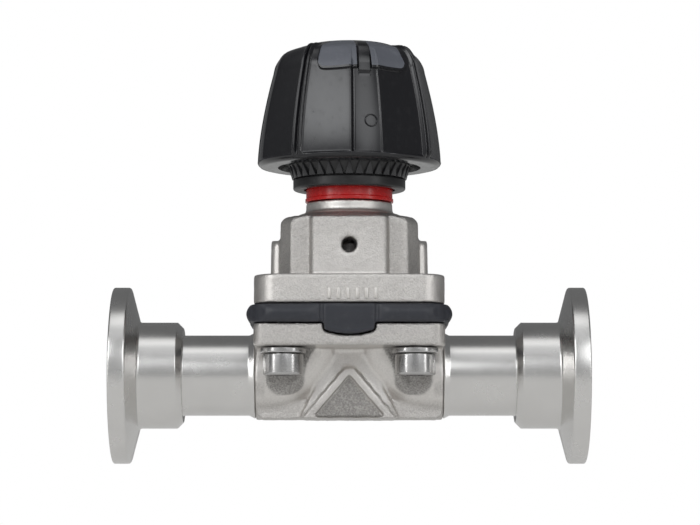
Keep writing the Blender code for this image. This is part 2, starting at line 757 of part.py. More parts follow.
def compressor():
    head = prism(head_outline(0.0), head_bottom, head_top)
    soften(head, HEAD_EDGE, edges_at(head_bottom))
    part = to_object("compressor", head, BRIGHT)
    join(part, to_object("shank", rod(shank_radius, head_top - OVERRUN, shank_top, COARSE)))
    reach = shank_radius + OVERRUN
    spindle_hole = rod(spindle_radius + GAP, thrust_bottom - GAP, shank_top + OVERRUN, COARSE)
    stud_hole = rod(STUD_DIAMETER / 2 + STUD_BUTTON + GAP, head_bottom - OVERRUN, stud_top + GAP, COARSE)
    cut(
        part,
        to_object("spindle_hole", spindle_hole),
        to_object("stud_hole", stud_hole),
        to_object("pin_bore", lay_pin(rod(PIN_DIAMETER / 2 + GAP, -reach, reach, 12))),
    )
    return part


def compressor_pin():
    half = math.sqrt((shank_radius - GAP) ** 2 - (pin_offset + PIN_DIAMETER / 2) ** 2)
    return to_object("compressor_pin", lay_pin(rod(PIN_DIAMETER / 2, -half, half, 12)), BRIGHT)


def thrust_washer():
    high = thrust_bottom + THRUST_WASHER_THICKNESS
    return to_object("thrust_washer", rod(spindle_radius - GAP, thrust_bottom, high, COARSE), BRONZE)


def spindle():
    groove_half = PIN_DIAMETER / 2 + GAP
    square_start = insert_bottom - 2 * GAP
    edge = 0.6 * MM
    profile = [
        (0, spindle_bottom),
        (spindle_radius - edge, spindle_bottom),
        (spindle_radius, spindle_bottom + edge),
        (spindle_radius, pin_height - groove_half),
        (groove_radius, pin_height - groove_half),
        (groove_radius, pin_height + groove_half),
        (spindle_radius, pin_height + groove_half),
        (spindle_radius, square_start),
        (0, square_start),
    ]
    part = to_object("spindle", turned(profile, COARSE, closed=False), BRIGHT)
    join(part, to_object("square", square_bar(0.0, square_start - OVERRUN, spindle_top)))
    tapped_bottom = spindle_top - HUB_SCREW_GRIP - MM
    tapped = rod(hub_screw_radius + GAP, tapped_bottom, spindle_top + OVERRUN, 16)
    cut(part, to_object("tapped_hole", tapped))
    return part


def square_bar(extra, low, high):
    half = SPINDLE_SQUARE / 2 + extra
    return prism([(half, half), (-half, half), (-half, -half), (half, -half)], low, high)


def stop_ring():
    edge = 0.5 * MM
    sleeve_top = stop_top + SLEEVE_HEIGHT
    profile = [
        (stop_inner, stop_bottom),
        (stop_outer - edge, stop_bottom),
        (stop_outer, stop_bottom + edge),
        (stop_outer, stop_top),
        (sleeve_radius, stop_top),
        (sleeve_radius, sleeve_top),
        (stop_inner, sleeve_top),
    ]
    return to_object("stop_ring", turned(profile, FINE), BLACK)


def toothed_crown():
    """Conical ring. Each tooth is broad at the foot and runs out to a point under the band."""
    inner = sleeve_radius + GAP
    band = crown_top - CROWN_BAND
    band_radius = crown_radius - CROWN_BAND_STEP
    levels = [
        (crown_bottom, stop_outer + CROWN_TOOTH_DEPTH, stop_outer),
        (band, band_radius, band_radius - CROWN_TOOTH_DEPTH / 4),
        (band + 0.2 * MM, band_radius, band_radius),
        (crown_top + CROWN_PLUG, crown_radius, crown_radius),
        (crown_top + CROWN_PLUG, inner, inner),
        (crown_bottom, inner, inner),
    ]
    bm = bmesh.new()
    rows = []
    for height, peak, valley in levels:
        row = []
        for k in range(2 * CROWN_TEETH):
            radius = peak if k % 2 else valley
            row.append(bm.verts.new(around(radius, math.pi * k / CROWN_TEETH, height)))
        rows.append(row)
    skin(bm, rows, ends=False)
    return to_object("toothed_crown", bm, BLACK)


def around(radius, angle, height):
    return (radius * math.cos(angle), radius * math.sin(angle), height)


def wheel_radius(height):
    """Outer radius of the handwheel at a height above its lower edge."""
    share = min(height, flank_height) / flank_height
    radius = WHEEL_DIAMETER / 2 - WHEEL_FLANK_DROP * share**WHEEL_FLANK_POWER
    above = max(0.0, height - flank_height) / WHEEL_SHOULDER
    radius -= WHEEL_SHOULDER * (1 - math.sqrt(max(0.0, 1 - above**2)))
    below = max(0.0, 1 - height / WHEEL_EDGE)
    return radius - WHEEL_EDGE * (1 - math.sqrt(1 - below**2))


def grip_dip(angle):
    """How far the flank lies below its ridges. Each lobe has two hollows round a flat."""
    sector = 2 * math.pi / WHEEL_LOBES
    across = abs((angle - WHEEL_PHASE + sector / 2) % sector - sector / 2)
    share = (across - GRIP_INNER) / (GRIP_OUTER - GRIP_INNER)
    return WHEEL_GRIP_DIP * math.sin(math.pi * share) if 0 < share < 1 else 0.0


def wheel_shell():
    heights = [0.0, WHEEL_EDGE * 0.3, WHEEL_EDGE]
    heights += [WHEEL_EDGE + (flank_height - WHEEL_EDGE) * i / 4 for i in range(1, 5)]
    heights += [flank_height + WHEEL_SHOULDER * math.sin(math.pi / 2 * i / 5) for i in range(1, 6)]
    bm = bmesh.new()
    rows = []
    for height in heights:
        fade = min(1.0, (WHEEL_HEIGHT - height) / WHEEL_SHOULDER, height / (2 * WHEEL_EDGE))
        row = []
        for k in range(WHEEL_FACETS):
            angle = 2 * math.pi * k / WHEEL_FACETS
            radius = wheel_radius(height) - fade * grip_dip(angle)
            row.append(bm.verts.new(around(radius, angle, wheel_bottom + height)))
        rows.append(row)
    skin(bm, rows)
    return bm


def wheel_cavity():
    profile = [
        (0, wheel_bottom - OVERRUN),
        (cavity_radius, wheel_bottom - OVERRUN),
        (cavity_radius, wheel_bottom + CROWN_PLUG + MM),
        (cavity_roof_radius, wheel_roof - MM),
        (cavity_roof_radius - MM, wheel_roof),
        (hub_radius + MM, wheel_roof),
        (hub_radius, wheel_roof - MM),
        (hub_radius, insert_bottom - GAP),
        (0, insert_bottom - GAP),
    ]
    return turned(profile, FINE, closed=False)


def spoke(index):
    """Rib inside the handwheel, from the hub out into the wall."""
    half = SPOKE_THICKNESS / 2
    start = hub_radius - MM
    outline = [(start, -half), (cavity_radius, -half), (cavity_radius, half), (start, half)]
    bm = prism(outline, wheel_bottom + SPOKE_HEIGHT, wheel_roof + OVERRUN)
    turn = Matrix.Rotation(WHEEL_PHASE + 2 * math.pi * index / WHEEL_LOBES, 4, "Z")
    bmesh.ops.transform(bm, matrix=turn, verts=bm.verts[:])
    return bm


def handwheel():
    part = to_object("handwheel", wheel_shell(), BLACK)
    cut(part, to_object("wheel_cavity", wheel_cavity()))
    join(part, *[to_object(f"spoke_{index}", spoke(index)) for index in range(WHEEL_LOBES)])
    bore = rod(insert_radius + GAP, insert_bottom - OVERRUN, insert_top + GAP, COARSE)
    screw_hole = rod(hub_screw_radius + GAP, insert_top - OVERRUN, hub_floor_top + OVERRUN, 16)
    well = rod(HUB_WASHER_DIAMETER / 2 + GAP, hub_floor_top, wheel_top, COARSE)
    seat = rod(cap_radius + GAP, cap_bottom - GAP, wheel_top + OVERRUN, FINE)
    cut(
        part,
        to_object("insert_bore", bore),
        to_object("hub_screw_hole", screw_hole),
        to_object("hub_well", well),
        to_object("cap_seat", seat),
    )
    return part


def hub_insert():
    part = to_object("hub_insert", rod(insert_radius, insert_bottom, insert_top, COARSE), BRIGHT)
    square = square_bar(GAP, insert_bottom - OVERRUN, insert_top + OVERRUN)
    cut(part, to_object("square_bore", square))
    return part


def hub_washer():
    high = hub_washer_bottom + HUB_WASHER_THICKNESS
    bm = ring(hub_screw_radius + GAP, HUB_WASHER_DIAMETER / 2, hub_washer_bottom, high, COARSE)
    return to_object("hub_washer", bm, BRIGHT)


def hub_screw():
    head = HUB_SCREW_HEAD / 2
    low = spindle_top - HUB_SCREW_GRIP
    high = hub_screw_seat + HUB_SCREW_HEAD_HEIGHT
    edge = 0.4 * MM
    profile = [(0, low), (hub_screw_radius, low), (hub_screw_radius, hub_screw_seat)]
    profile += [(head, hub_screw_seat), (head, high - edge), (head - edge, high), (0, high)]
    return to_object("hub_screw", turned(profile, COARSE, closed=False), BRIGHT)


def top_cap():
    edge = 0.5 * MM
    profile = [(0, cap_bottom), (cap_radius, cap_bottom), (cap_radius, wheel_top - edge)]
    profile += [(cap_radius - edge, wheel_top), (0, wheel_top)]
    return to_object("top_cap", turned(profile, FINE, closed=False), BLACK)


def joint_empty(name, parent, children):
    """An empty on the stem axis that carries what moves together."""
    empty = bpy.data.objects.new(name, None)
    empty.location = (0, 0, 0)
    empty.parent = parent
    bpy.context.scene.collection.objects.link(empty)
    for child in children:
        child.parent = empty
    return empty


def build():
    clear_scene()
    body_casting()
    ferrule("inlet_ferrule", -1)
    ferrule("outlet_ferrule", 1)
    diaphragm_rim()
    diaphragm_membrane()
    bonnet()
    spindle_bush()
    stem_o_ring()
    indicator_ring()
    bonnet_screws()
    bonnet_washers()
    lifted = [compressor(), diaphragm_stud(), compressor_pin(), thrust_washer()]
    lift = joint_empty("compressor_lift", None, lifted)
    wheel_parts = [spindle(), stop_ring(), toothed_crown(), handwheel()]
    wheel_parts += [hub_insert(), hub_washer(), hub_screw(), top_cap()]
    joint_empty("handwheel_turn", lift, wheel_parts)


build()
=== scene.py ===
import json
import math

import bmesh
import bpy
import numpy as np
from mathutils import Matrix, Vector, noise

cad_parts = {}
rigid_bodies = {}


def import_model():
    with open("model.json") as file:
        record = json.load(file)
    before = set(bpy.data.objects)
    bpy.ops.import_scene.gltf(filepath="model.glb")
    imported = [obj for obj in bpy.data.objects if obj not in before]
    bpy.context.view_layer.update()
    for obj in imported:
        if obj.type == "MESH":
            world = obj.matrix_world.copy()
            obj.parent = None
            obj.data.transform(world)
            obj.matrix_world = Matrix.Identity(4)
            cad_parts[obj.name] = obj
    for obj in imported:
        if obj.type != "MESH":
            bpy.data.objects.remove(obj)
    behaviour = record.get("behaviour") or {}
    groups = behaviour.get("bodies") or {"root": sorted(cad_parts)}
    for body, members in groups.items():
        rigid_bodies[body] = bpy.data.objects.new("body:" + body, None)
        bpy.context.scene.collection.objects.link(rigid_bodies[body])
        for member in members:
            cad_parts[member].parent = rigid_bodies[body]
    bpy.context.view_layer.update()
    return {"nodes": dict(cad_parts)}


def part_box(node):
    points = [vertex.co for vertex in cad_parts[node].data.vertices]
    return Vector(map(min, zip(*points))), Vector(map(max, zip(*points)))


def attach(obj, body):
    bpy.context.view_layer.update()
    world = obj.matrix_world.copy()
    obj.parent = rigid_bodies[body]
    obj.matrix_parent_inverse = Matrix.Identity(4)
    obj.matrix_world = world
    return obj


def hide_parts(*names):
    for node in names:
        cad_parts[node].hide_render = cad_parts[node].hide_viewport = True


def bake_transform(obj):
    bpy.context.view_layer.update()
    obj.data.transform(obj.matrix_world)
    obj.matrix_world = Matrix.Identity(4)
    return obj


mm = 0.001
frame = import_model()
print("frame loaded:", len(frame["nodes"]), "nodes")

# Sizes in the dictionaries below are in millimetres, angles in degrees.


class Wire:
    # one node socket, so that shader maths can be written as an expression
    def __init__(self, graph, socket):
        self.graph = graph
        self.socket = socket

    def maths(self, operation, first, second):
        return self.graph.node("ShaderNodeMath", {"operation": operation}, {0: first, 1: second})


for word, operation in {"add": "ADD", "sub": "SUBTRACT", "mul": "MULTIPLY", "truediv": "DIVIDE"}.items():
    setattr(Wire, f"__{word}__", lambda self, other, kind=operation: self.maths(kind, self, other))
    setattr(Wire, f"__r{word}__", lambda self, other, kind=operation: self.maths(kind, other, self))


class Graph:
    def __init__(self, tree):
        self.tree = tree
        tree.nodes.clear()

    def node(self, kind, settings=None, sockets=None, out=0):
        made = self.tree.nodes.new(kind)
        for key, value in (settings or {}).items():
            setattr(made, key, value)
        for key, value in (sockets or {}).items():
            socket = made.inputs[key]
            if isinstance(value, Wire):
                self.tree.links.new(value.socket, socket)
            elif socket.type == "RGBA" and len(value) == 3:
                socket.default_value = (*value, 1.0)
            else:
                socket.default_value = value
        return Wire(self, made.outputs[out]) if made.outputs else None


def grain(graph, place, size, detail=2.0, roughness=0.5):
    # noise whose features are about size millimetres across
    sockets = {"Vector": place, "Scale": 1000 / size, "Detail": detail, "Roughness": roughness}
    return graph.node("ShaderNodeTexNoise", {"noise_dimensions": "3D"}, sockets)


def spread(graph, value, low, high, toLow=0.0, toHigh=1.0):
    sockets = {"Value": value, "From Min": low, "From Max": high, "To Min": toLow, "To Max": toHigh}
    return graph.node("ShaderNodeMapRange", {"interpolation_type": "SMOOTHSTEP"}, sockets)


def mixColours(graph, share, first, second):
    return graph.node("ShaderNodeMix", {"data_type": "RGBA"}, {0: share, 6: first, 7: second}, 2)


def bump(graph, height):
    # height is in millimetres
    return graph.node("ShaderNodeBump", {}, {"Height": height, "Strength": 1.0, "Distance": mm})


def newLook(name):
    material = bpy.data.materials.new(name)
    material.use_nodes = True
    graph = Graph(material.node_tree)
    return material, graph, graph.node("ShaderNodeTexCoord", {}, {}, "Object")


def finishLook(graph, sockets):
    shader = graph.node("ShaderNodeBsdfPrincipled", {}, sockets)
    graph.node("ShaderNodeOutputMaterial", {}, {"Surface": shader})


castFinish = {
    "colour": (0.78, 0.755, 0.725), "shade": (0.70, 0.675, 0.65), "roughness": 0.42,
    "lump": 4.0, "grain": 0.5, "grainDepth": 0.018, "stretch": (1.0, 1.0, 1.0),
    # dark: the colour under the mask, for rough cast grain and for painted shade in hollows
    "dark": (0.03, 0.028, 0.026), "darkShare": 0.60, "pitShare": 0.24, "pit": 0.45, "pitDepth": 0.10,
}
satinFinish = {
    "colour": (0.71, 0.70, 0.685), "shade": (0.66, 0.65, 0.635), "roughness": 0.26,
    "lump": 9.0, "grain": 0.30, "grainDepth": 0.008, "stretch": (3.0, 0.6, 0.6),
}
brightFinish = {
    "colour": (0.52, 0.515, 0.51), "shade": (0.44, 0.435, 0.43), "roughness": 0.25,
    "lump": 4.0, "grain": 0.25, "grainDepth": 0.006, "stretch": (1.0, 1.0, 1.0),
}
bronzeFinish = {
    "colour": (0.62, 0.41, 0.19), "shade": (0.48, 0.30, 0.13), "roughness": 0.34,
    "lump": 3.0, "grain": 0.25, "grainDepth": 0.008, "stretch": (1.0, 1.0, 1.0),
}


def metalLook(name, finish):
    material, graph, place = newLook(name)
    drawn = graph.node("ShaderNodeMapping", {}, {"Vector": place, "Scale": finish["stretch"]})
    lump = grain(graph, place, finish["lump"], 3.0, 0.6)
    fine = grain(graph, drawn, finish["grain"], 2.0, 0.6)
    tone = spread(graph, lump * 0.5 + fine * 0.5, 0.32, 0.68)
    colour = mixColours(graph, tone, finish["shade"], finish["colour"])
    roughness = finish["roughness"] + (lump - 0.5) * 0.10
    height = fine * finish["grainDepth"]
    if "dark" in finish:  # darker and pitted where the mask on the mesh is high: rough cast grain, and painted shade in hollows
        rough = graph.node("ShaderNodeAttribute", {"attribute_name": "rough"}, {}, 2)
        pits = spread(graph, grain(graph, place, finish["pit"], 3.0, 0.65), 0.36, 0.64)
        depth = rough * (finish["darkShare"] - pits * finish["pitShare"])
        colour = mixColours(graph, depth, colour, finish["dark"])
        roughness = roughness + rough * 0.05
        height = height + pits * rough * finish["pitDepth"]
    sockets = {"Base Color": colour, "Roughness": roughness, "Metallic": 1.0, "Normal": bump(graph, height)}
    finishLook(graph, sockets)
    return material


rubberFinish = {
    "colour": (0.024, 0.026, 0.034), "worn": (0.036, 0.038, 0.046), "roughness": 0.42,
    "wave": 7.0, "waveDepth": 0.10, "fine": 0.35, "fineDepth": 0.012, "stretch": 1.0,
}
gripFinish = {
    "colour": (0.010, 0.010, 0.012), "worn": (0.014, 0.014, 0.016), "roughness": 0.17,
    "wave": 9.0, "waveDepth": 0.09, "fine": 0.6, "fineDepth": 0.002, "stretch": 0.4,
}
# painted sheen: the pads are black plastic, and this grey stands in for the overhead light they reflect
padSheenFinish = {
    "colour": (0.105, 0.112, 0.132), "worn": (0.132, 0.139, 0.160), "roughness": 0.50,
    "wave": 6.0, "waveDepth": 0.05, "fine": 0.4, "fineDepth": 0.012, "stretch": 1.0,
}
ringFinish = {
    "colour": (0.013, 0.013, 0.014), "worn": (0.024, 0.024, 0.026), "roughness": 0.36,
    "wave": 5.0, "waveDepth": 0.04, "fine": 0.4, "fineDepth": 0.006, "stretch": 1.0,
}
toothFinish = {
    **ringFinish, "colour": (0.030, 0.030, 0.033), "worn": (0.045, 0.045, 0.048),
    "roughness": 0.40, "waveDepth": 0.03,
}
redFinish = {
    "colour": (0.50, 0.012, 0.012), "worn": (0.60, 0.040, 0.034), "roughness": 0.26,
    "wave": 4.0, "waveDepth": 0.03, "fine": 0.4, "fineDepth": 0.004, "stretch": 0.3,
}


def mouldedLook(name, finish):
    material, graph, place = newLook(name)
    scale = (1.0, 1.0, finish["stretch"])
    drawn = graph.node("ShaderNodeMapping", {}, {"Vector": place, "Scale": scale})
    wave = grain(graph, drawn, finish["wave"], 2.0, 0.5)
    fine = grain(graph, place, finish["fine"], 2.0, 0.6)
    scuff = spread(graph, grain(graph, place, 2.2, 4.0, 0.7), 0.50, 0.74)
    finishLook(graph, {
        "Base Color": mixColours(graph, scuff, finish["colour"], finish["worn"]),
        "Roughness": finish["roughness"] + scuff * 0.10 + (wave - 0.5) * 0.10,
        "Normal": bump(graph, wave * finish["waveDepth"] + fine * finish["fineDepth"]),
    })
    return material


looks = {
    "cast": metalLook("castSteel", castFinish),
    "satin": metalLook("satinSteel", satinFinish),
    "bright": metalLook("brightSteel", brightFinish),
    "bronze": metalLook("turnedBronze", bronzeFinish),
    "rubber": mouldedLook("diaphragmRubber", rubberFinish),
    "grip": mouldedLook("gripPlastic", gripFinish),
    "pad": mouldedLook("padPlastic", padSheenFinish),
    "tooth": mouldedLook("toothPlastic", toothFinish),
    "ring": mouldedLook("ringPlastic", ringFinish),
    "red": mouldedLook("redPlastic", redFinish),
}
print("finishes made:", len(looks))


def newObject(name, mesh):
    made = bpy.data.objects.new(name, mesh)
    bpy.context.scene.collection.objects.link(made)
    return made


def meshObject(name, bm, sharp=40.0):
    bmesh.ops.remove_doubles(bm, verts=bm.verts[:], dist=1e-7)
    bmesh.ops.recalc_face_normals(bm, faces=bm.faces[:])
    mesh = bpy.data.meshes.new(name)
    bm.to_mesh(mesh)
    bm.free()
    mesh.shade_smooth()
    mesh.set_sharp_from_angle(angle=math.radians(sharp))
    return newObject(name, mesh)


def addPiece(piece, body, look, nodes=()):
    if look:
        piece.data.materials.clear()
        piece.data.materials.append(looks[look])
    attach(piece, body)
    if nodes:
        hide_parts(*nodes)
    return piece


def addBlack(piece, look, nodes=()):
    # a moulded piece that turns with the handwheel
    addPiece(piece, "handwheel", look, nodes)


def rounded(corners, steps=5):
    # a closed outline of (x, y, radius) corners, each corner drawn as an arc
    result = []
    count = len(corners)
    for index, (x, y, radius) in enumerate(corners):
        corner = Vector((x, y))
        before = Vector(corners[index - 1][:2]) - corner
        after = Vector(corners[(index + 1) % count][:2]) - corner
        if radius <= 0:
            result.append((x, y))
            continue
        half = before.angle(after) / 2
        reach = min(radius / math.tan(half), before.length * 0.48, after.length * 0.48)
        start = corner + before.normalized() * reach
        end = corner + after.normalized() * reach
        for k in range(steps + 1):
            t = k / steps
            point = start * (1 - t) ** 2 + corner * (2 * t * (1 - t)) + end * t * t
            result.append((point.x, point.y))
    return result


def joinRings(bm, here, there):
    for i in range(len(here)):
        j = (i + 1) % len(here)
        bm.faces.new((here[i], there[i], there[j], here[j]))


def revolve(profile, segments):
    # a closed (radius, height) outline spun about Z
    bm = bmesh.new()
    columns = []
    for k in range(segments):
        cosine, sine = math.cos(2 * math.pi * k / segments), math.sin(2 * math.pi * k / segments)
        columns.append([bm.verts.new((r * mm * cosine, r * mm * sine, z * mm)) for r, z in profile])
    count = len(profile)
    for k in range(segments):
        here, there = columns[k], columns[(k + 1) % segments]
        for i in range(count):
            j = (i + 1) % count
            if profile[i][0] > 1e-6 or profile[j][0] > 1e-6:
                bm.faces.new((here[i], there[i], there[j], here[j]))
    return bm


def turned(name, profile, segments):
    return meshObject(name, revolve(profile, segments), 50)


def moved(bm, matrix):
    bmesh.ops.transform(bm, matrix=matrix, verts=bm.verts[:])
    return bm


def bevelled(bm, edges, width, segments, clamp=False):
    settings = {"affect": "EDGES", "profile": 0.5, "clamp_overlap": clamp}
    bmesh.ops.bevel(bm, geom=edges, offset=width * mm, segments=segments, **settings)
    return bm


def prism(outline, low, high, topScale=1.0):
    bm = bmesh.new()
    foot = [bm.verts.new((x * mm, y * mm, low * mm)) for x, y in outline]
    head = [bm.verts.new((x * mm * topScale, y * mm * topScale, high * mm)) for x, y in outline]
    bm.faces.new(foot)
    bm.faces.new(head)
    count = len(outline)
    for i in range(count):
        j = (i + 1) % count
        bm.faces.new((foot[i], foot[j], head[j], head[i]))
    return bm


def plate(outline, near, far):
    # an (x, z) outline carried from y = near to y = far
    return moved(prism(outline, -far, -near), Matrix.Rotation(math.pi / 2, 4, "X"))


def roundedSquare(halfX, halfY, radius, steps=8):
    outline = []
    for quarter, (signX, signY) in enumerate(((1, 1), (-1, 1), (-1, -1), (1, -1))):
        for i in range(steps + 1):
            angle = math.pi / 2 * (quarter + i / steps)
            x = signX * (halfX - radius) + radius * math.cos(angle)
            y = signY * (halfY - radius) + radius * math.sin(angle)
            outline.append((x, y))
    return outline


def rod(radius, low, high, segments=48, centre=(0.0, 0.0)):
    turns = [2 * math.pi * k / segments for k in range(segments)]
    outline = [(centre[0] + radius * math.cos(a), centre[1] + radius * math.sin(a)) for a in turns]
    return prism(outline, low, high)


def applyModifiers(piece):
    # leaves the piece as a plain mesh
    bpy.context.view_layer.update()
    graph = bpy.context.evaluated_depsgraph_get()
    mesh = bpy.data.meshes.new_from_object(piece.evaluated_get(graph))
    piece.modifiers.clear()
    piece.data = mesh


def combineWith(piece, operation, shapes):
    group = bpy.data.collections.new(piece.name + operation)
    bpy.context.scene.collection.children.link(group)
    for index, bm in enumerate(shapes):
        item = meshObject(f"{piece.name}{operation}{index}", bm)
        bpy.context.scene.collection.objects.unlink(item)
        group.objects.link(item)
    boolean = piece.modifiers.new(operation, "BOOLEAN")
    boolean.operation = operation
    boolean.solver = "EXACT"
    boolean.operand_type = "COLLECTION"
    boolean.collection = group
    return group


def carve(piece, solids, cutters, voxel=0.0, smoothing=0):
    # one body out of several solids, its edges softened as casting or moulding leaves them
    groups = []
    if solids:
        groups.append(combineWith(piece, "UNION", solids))
    if cutters:
        groups.append(combineWith(piece, "DIFFERENCE", cutters))
    if voxel:
        remesh = piece.modifiers.new("remesh", "REMESH")
        remesh.mode = "VOXEL"
        remesh.voxel_size = voxel * mm
        remesh.use_smooth_shade = True
        soften = piece.modifiers.new("soften", "SMOOTH")
        soften.factor = 0.5
        soften.iterations = smoothing
    applyModifiers(piece)
    for group in groups:
        for item in list(group.objects):
            bpy.data.objects.remove(item)
        bpy.data.collections.remove(group)


def pointData(piece, name):
    found = np.zeros(len(piece.data.vertices) * 3, np.float32)
    piece.data.vertices.foreach_get(name, found)
    return found.reshape(-1, 3).astype(float)


def movePoints(piece, places):
    piece.data.vertices.foreach_set("co", places.astype(np.float32).ravel())
    piece.data.update()


def step(values, low, high):
    t = np.clip((values - low) / (high - low), 0, 1)
    return t * t * (3 - 2 * t)


def roughenAndShade(piece, masks, size):
    # leaves the highest mask on the mesh for the finish, which darkens rough casting and paints shade into
    # hollows, and moves the points a little where it is high
    rough = np.maximum.reduce(masks)
    attribute = piece.data.attributes.new("rough", "FLOAT", "POINT")
    attribute.data.foreach_set("value", np.clip(rough, 0, 1).astype(np.float32))
    places = pointData(piece, "co")
    facing = pointData(piece, "normal")
    lumps = np.array([noise.noise(Vector(place) / (size["lumpSize"] * mm)) for place in places])
    movePoints(piece, places + facing * (lumps * (0.25 + rough) * size["lumpDepth"] * mm)[:, None])


def copiesTree(name, inRow):
    # instances of one piece round a circle or along a row, realised and given a finish
    tree = bpy.data.node_groups.new(name, "GeometryNodeTree")
    kinds = {"Piece": "Object", "Count": "Int", "Finish": "Material"}
    kinds.update({"Start": "Vector", "Offset": "Vector"} if inRow else {"Radius": "Float", "Phase": "Float"})
    for label, kind in kinds.items():
        tree.interface.new_socket(label, in_out="INPUT", socket_type="NodeSocket" + kind)
    tree.interface.new_socket("Geometry", in_out="OUTPUT", socket_type="NodeSocketGeometry")
    graph = Graph(tree)
    given = tree.nodes.new("NodeGroupInput")
    value = {label: Wire(graph, given.outputs[label]) for label in kinds}
    pattern = graph.node("GeometryNodeObjectInfo", {}, {"Object": value["Piece"]}, "Geometry")
    if inRow:
        sockets = {"Count": value["Count"], "Start Location": value["Start"], "Offset": value["Offset"]}
        points = graph.node("GeometryNodeMeshLine", {}, sockets)
        made = graph.node("GeometryNodeInstanceOnPoints", {}, {"Points": points, "Instance": pattern})
    else:
        points = graph.node(
            "GeometryNodeMeshCircle", {}, {"Vertices": value["Count"], "Radius": value["Radius"]}
        )
        angle = graph.node("GeometryNodeInputIndex") * (2 * math.pi) / value["Count"]
        turn = graph.node("ShaderNodeCombineXYZ", {}, {"Z": angle})
        sockets = {"Points": points, "Instance": pattern, "Rotation": turn}
        laid = graph.node("GeometryNodeInstanceOnPoints", {}, sockets)
        whole = graph.node("ShaderNodeCombineXYZ", {}, {"Z": value["Phase"]})
        made = graph.node("GeometryNodeTransform", {}, {"Geometry": laid, "Rotation": whole})
    real = graph.node("GeometryNodeRealizeInstances", {}, {"Geometry": made})
    done = graph.node("GeometryNodeSetMaterial", {}, {"Geometry": real, "Material": value["Finish"]})
    graph.node("NodeGroupOutput", {}, {"Geometry": done})
    return tree


roundTree = copiesTree("copiesRound", False)
rowTree = copiesTree("copiesInRow", True)


def layCopies(name, tree, pattern, given):
    holder = newObject(name, bpy.data.meshes.new(name))
    modifier = holder.modifiers.new("copies", "NODES")
    modifier.node_group = tree
    given = {"Piece": pattern, **given}
    for item in tree.interface.items_tree:
        if item.in_out == "INPUT":
            modifier[item.identifier] = given[item.name]
    holder.update_tag()
    applyModifiers(holder)
    bpy.data.objects.remove(pattern)
    return holder


def inMm(node):
    low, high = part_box(node)
    return low / mm, high / mm


bodyLow, bodyHigh = inMm("body_casting")
rimLow, rimHigh = inMm("diaphragm_rim")
bonnetLow, bonnetHigh = inMm("bonnet")
ferruleLow, ferruleHigh = inMm("outlet_ferrule")
screwLow, screwHigh = inMm("bonnet_screw_4")
washerLow, washerHigh = inMm("bonnet_washer_4")
redLow, redHigh = inMm("indicator_ring")
stopLow, stopHigh = inMm("stop_ring")
crownLow, crownHigh = inMm("toothed_crown")
wheelLow, wheelHigh = inMm("handwheel")
capLow, capHigh = inMm("top_cap")
membraneLow, membraneHigh = inMm("diaphragm_membrane")
screwReach = (screwLow.x + screwHigh.x) / 2
screwSpots = [(x * screwReach, y * screwReach) for x in (-1, 1) for y in (-1, 1)]


# Pipe ends: each is one turned piece, measured from its sealing face.
ferruleShape = {
    "bore": 10.0, "grooveRadius": 21.8, "grooveDepth": 1.2, "clampEdge": 4.8, "slopeEnd": 7.5,
    "collar": 15.2, "collarEnd": 20.0, "chamfer": 1.7, "tube": 11.5, "flare": 0.85,
    "flareLength": 1.9, "weld": 0.4, "segments": 128,
}


def makeFerrule(name, node, side):
    size = ferruleShape
    length = ferruleHigh.x - ferruleLow.x + size["weld"]
    clamp = ferruleHigh.z
    groove, deep = size["grooveRadius"], size["grooveDepth"]
    profile = rounded([
        (size["bore"], 0, 0.3), (groove - deep, 0, 0.3), (groove - deep / 2, deep, 0.3),
        (groove + deep / 2, deep, 0.3), (groove + deep, 0, 0.3), (clamp, 0, 0.55),
        (clamp, size["clampEdge"], 0.8), (size["collar"], size["slopeEnd"], 0.9),
        (size["collar"], size["collarEnd"] - size["chamfer"], 0.35),
        (size["collar"] - size["chamfer"], size["collarEnd"], 0.3), (size["tube"], size["collarEnd"], 0.35),
        (size["tube"], length - size["flareLength"], 0.8), (size["tube"] + size["flare"], length - 0.3, 0.35),
        (size["tube"] + 0.4, length, 0.1), (size["bore"], length, 0.2),
    ])
    bm = revolve(profile, size["segments"])
    turn = Matrix.Rotation(-side * math.pi / 2, 4, "Y")
    moved(bm, Matrix.Translation((side * ferruleHigh.x * mm, 0, 0)) @ turn)
    addPiece(meshObject(name, bm, 50), "root", "satin", [node])


makeFerrule("inletPipeEnd", "inlet_ferrule", -1)
makeFerrule("outletPipeEnd", "outlet_ferrule", 1)
print("pipe ends made")

# Cast body: square flange, two legs round the bent passages, a web with a sunk triangle, and a sole.
bodyShape = {
    "bore": 10.0, "wall": 2.7, "portWall": 2.2, "portHalfWidth": 5.2, "portHalfDepth": 11.5,
    "portCentre": 6.7, "bend": 3.8, "legShare": 0.8, "setback": 0.15, "flangeDepth": 6.2,
    "flangeCorner": 4.0, "pocket": 7.3, "hole": 3.3, "weirTop": 8.65, "seat": 13.0,
    "webHalf": 10.7, "webFoot": 14.2, "webTip": 3.0, "ribHalf": 11.6, "ribFoot": 13.2, "ribTip": 1.3,
    "ribApex": 1.6, "ribWidth": 2.9, "recessApex": -0.2, "recessFoot": 0.4, "recessDepth": 1.5,
    "soleHeight": 5.0, "soleHalf": 8.0, "endWall": 2.8, "endInset": 0.5, "tabHalf": 7.3, "tabDrop": 3.6,
    "rimTab": 3.3, "pocketMiddle": 18.2, "pocketWide": 5.5, "pocketTaper": 3.4, "pocketFoot": -6.4,
    "bandRough": 0.6, "stripRough": 0.5, "plainRough": 0.16, "footRough": 0.4,
    "sides": 64, "steps": 20, "voxel": 0.5, "smoothing": 4, "lumpDepth": 0.11, "lumpSize": 1.3,
}


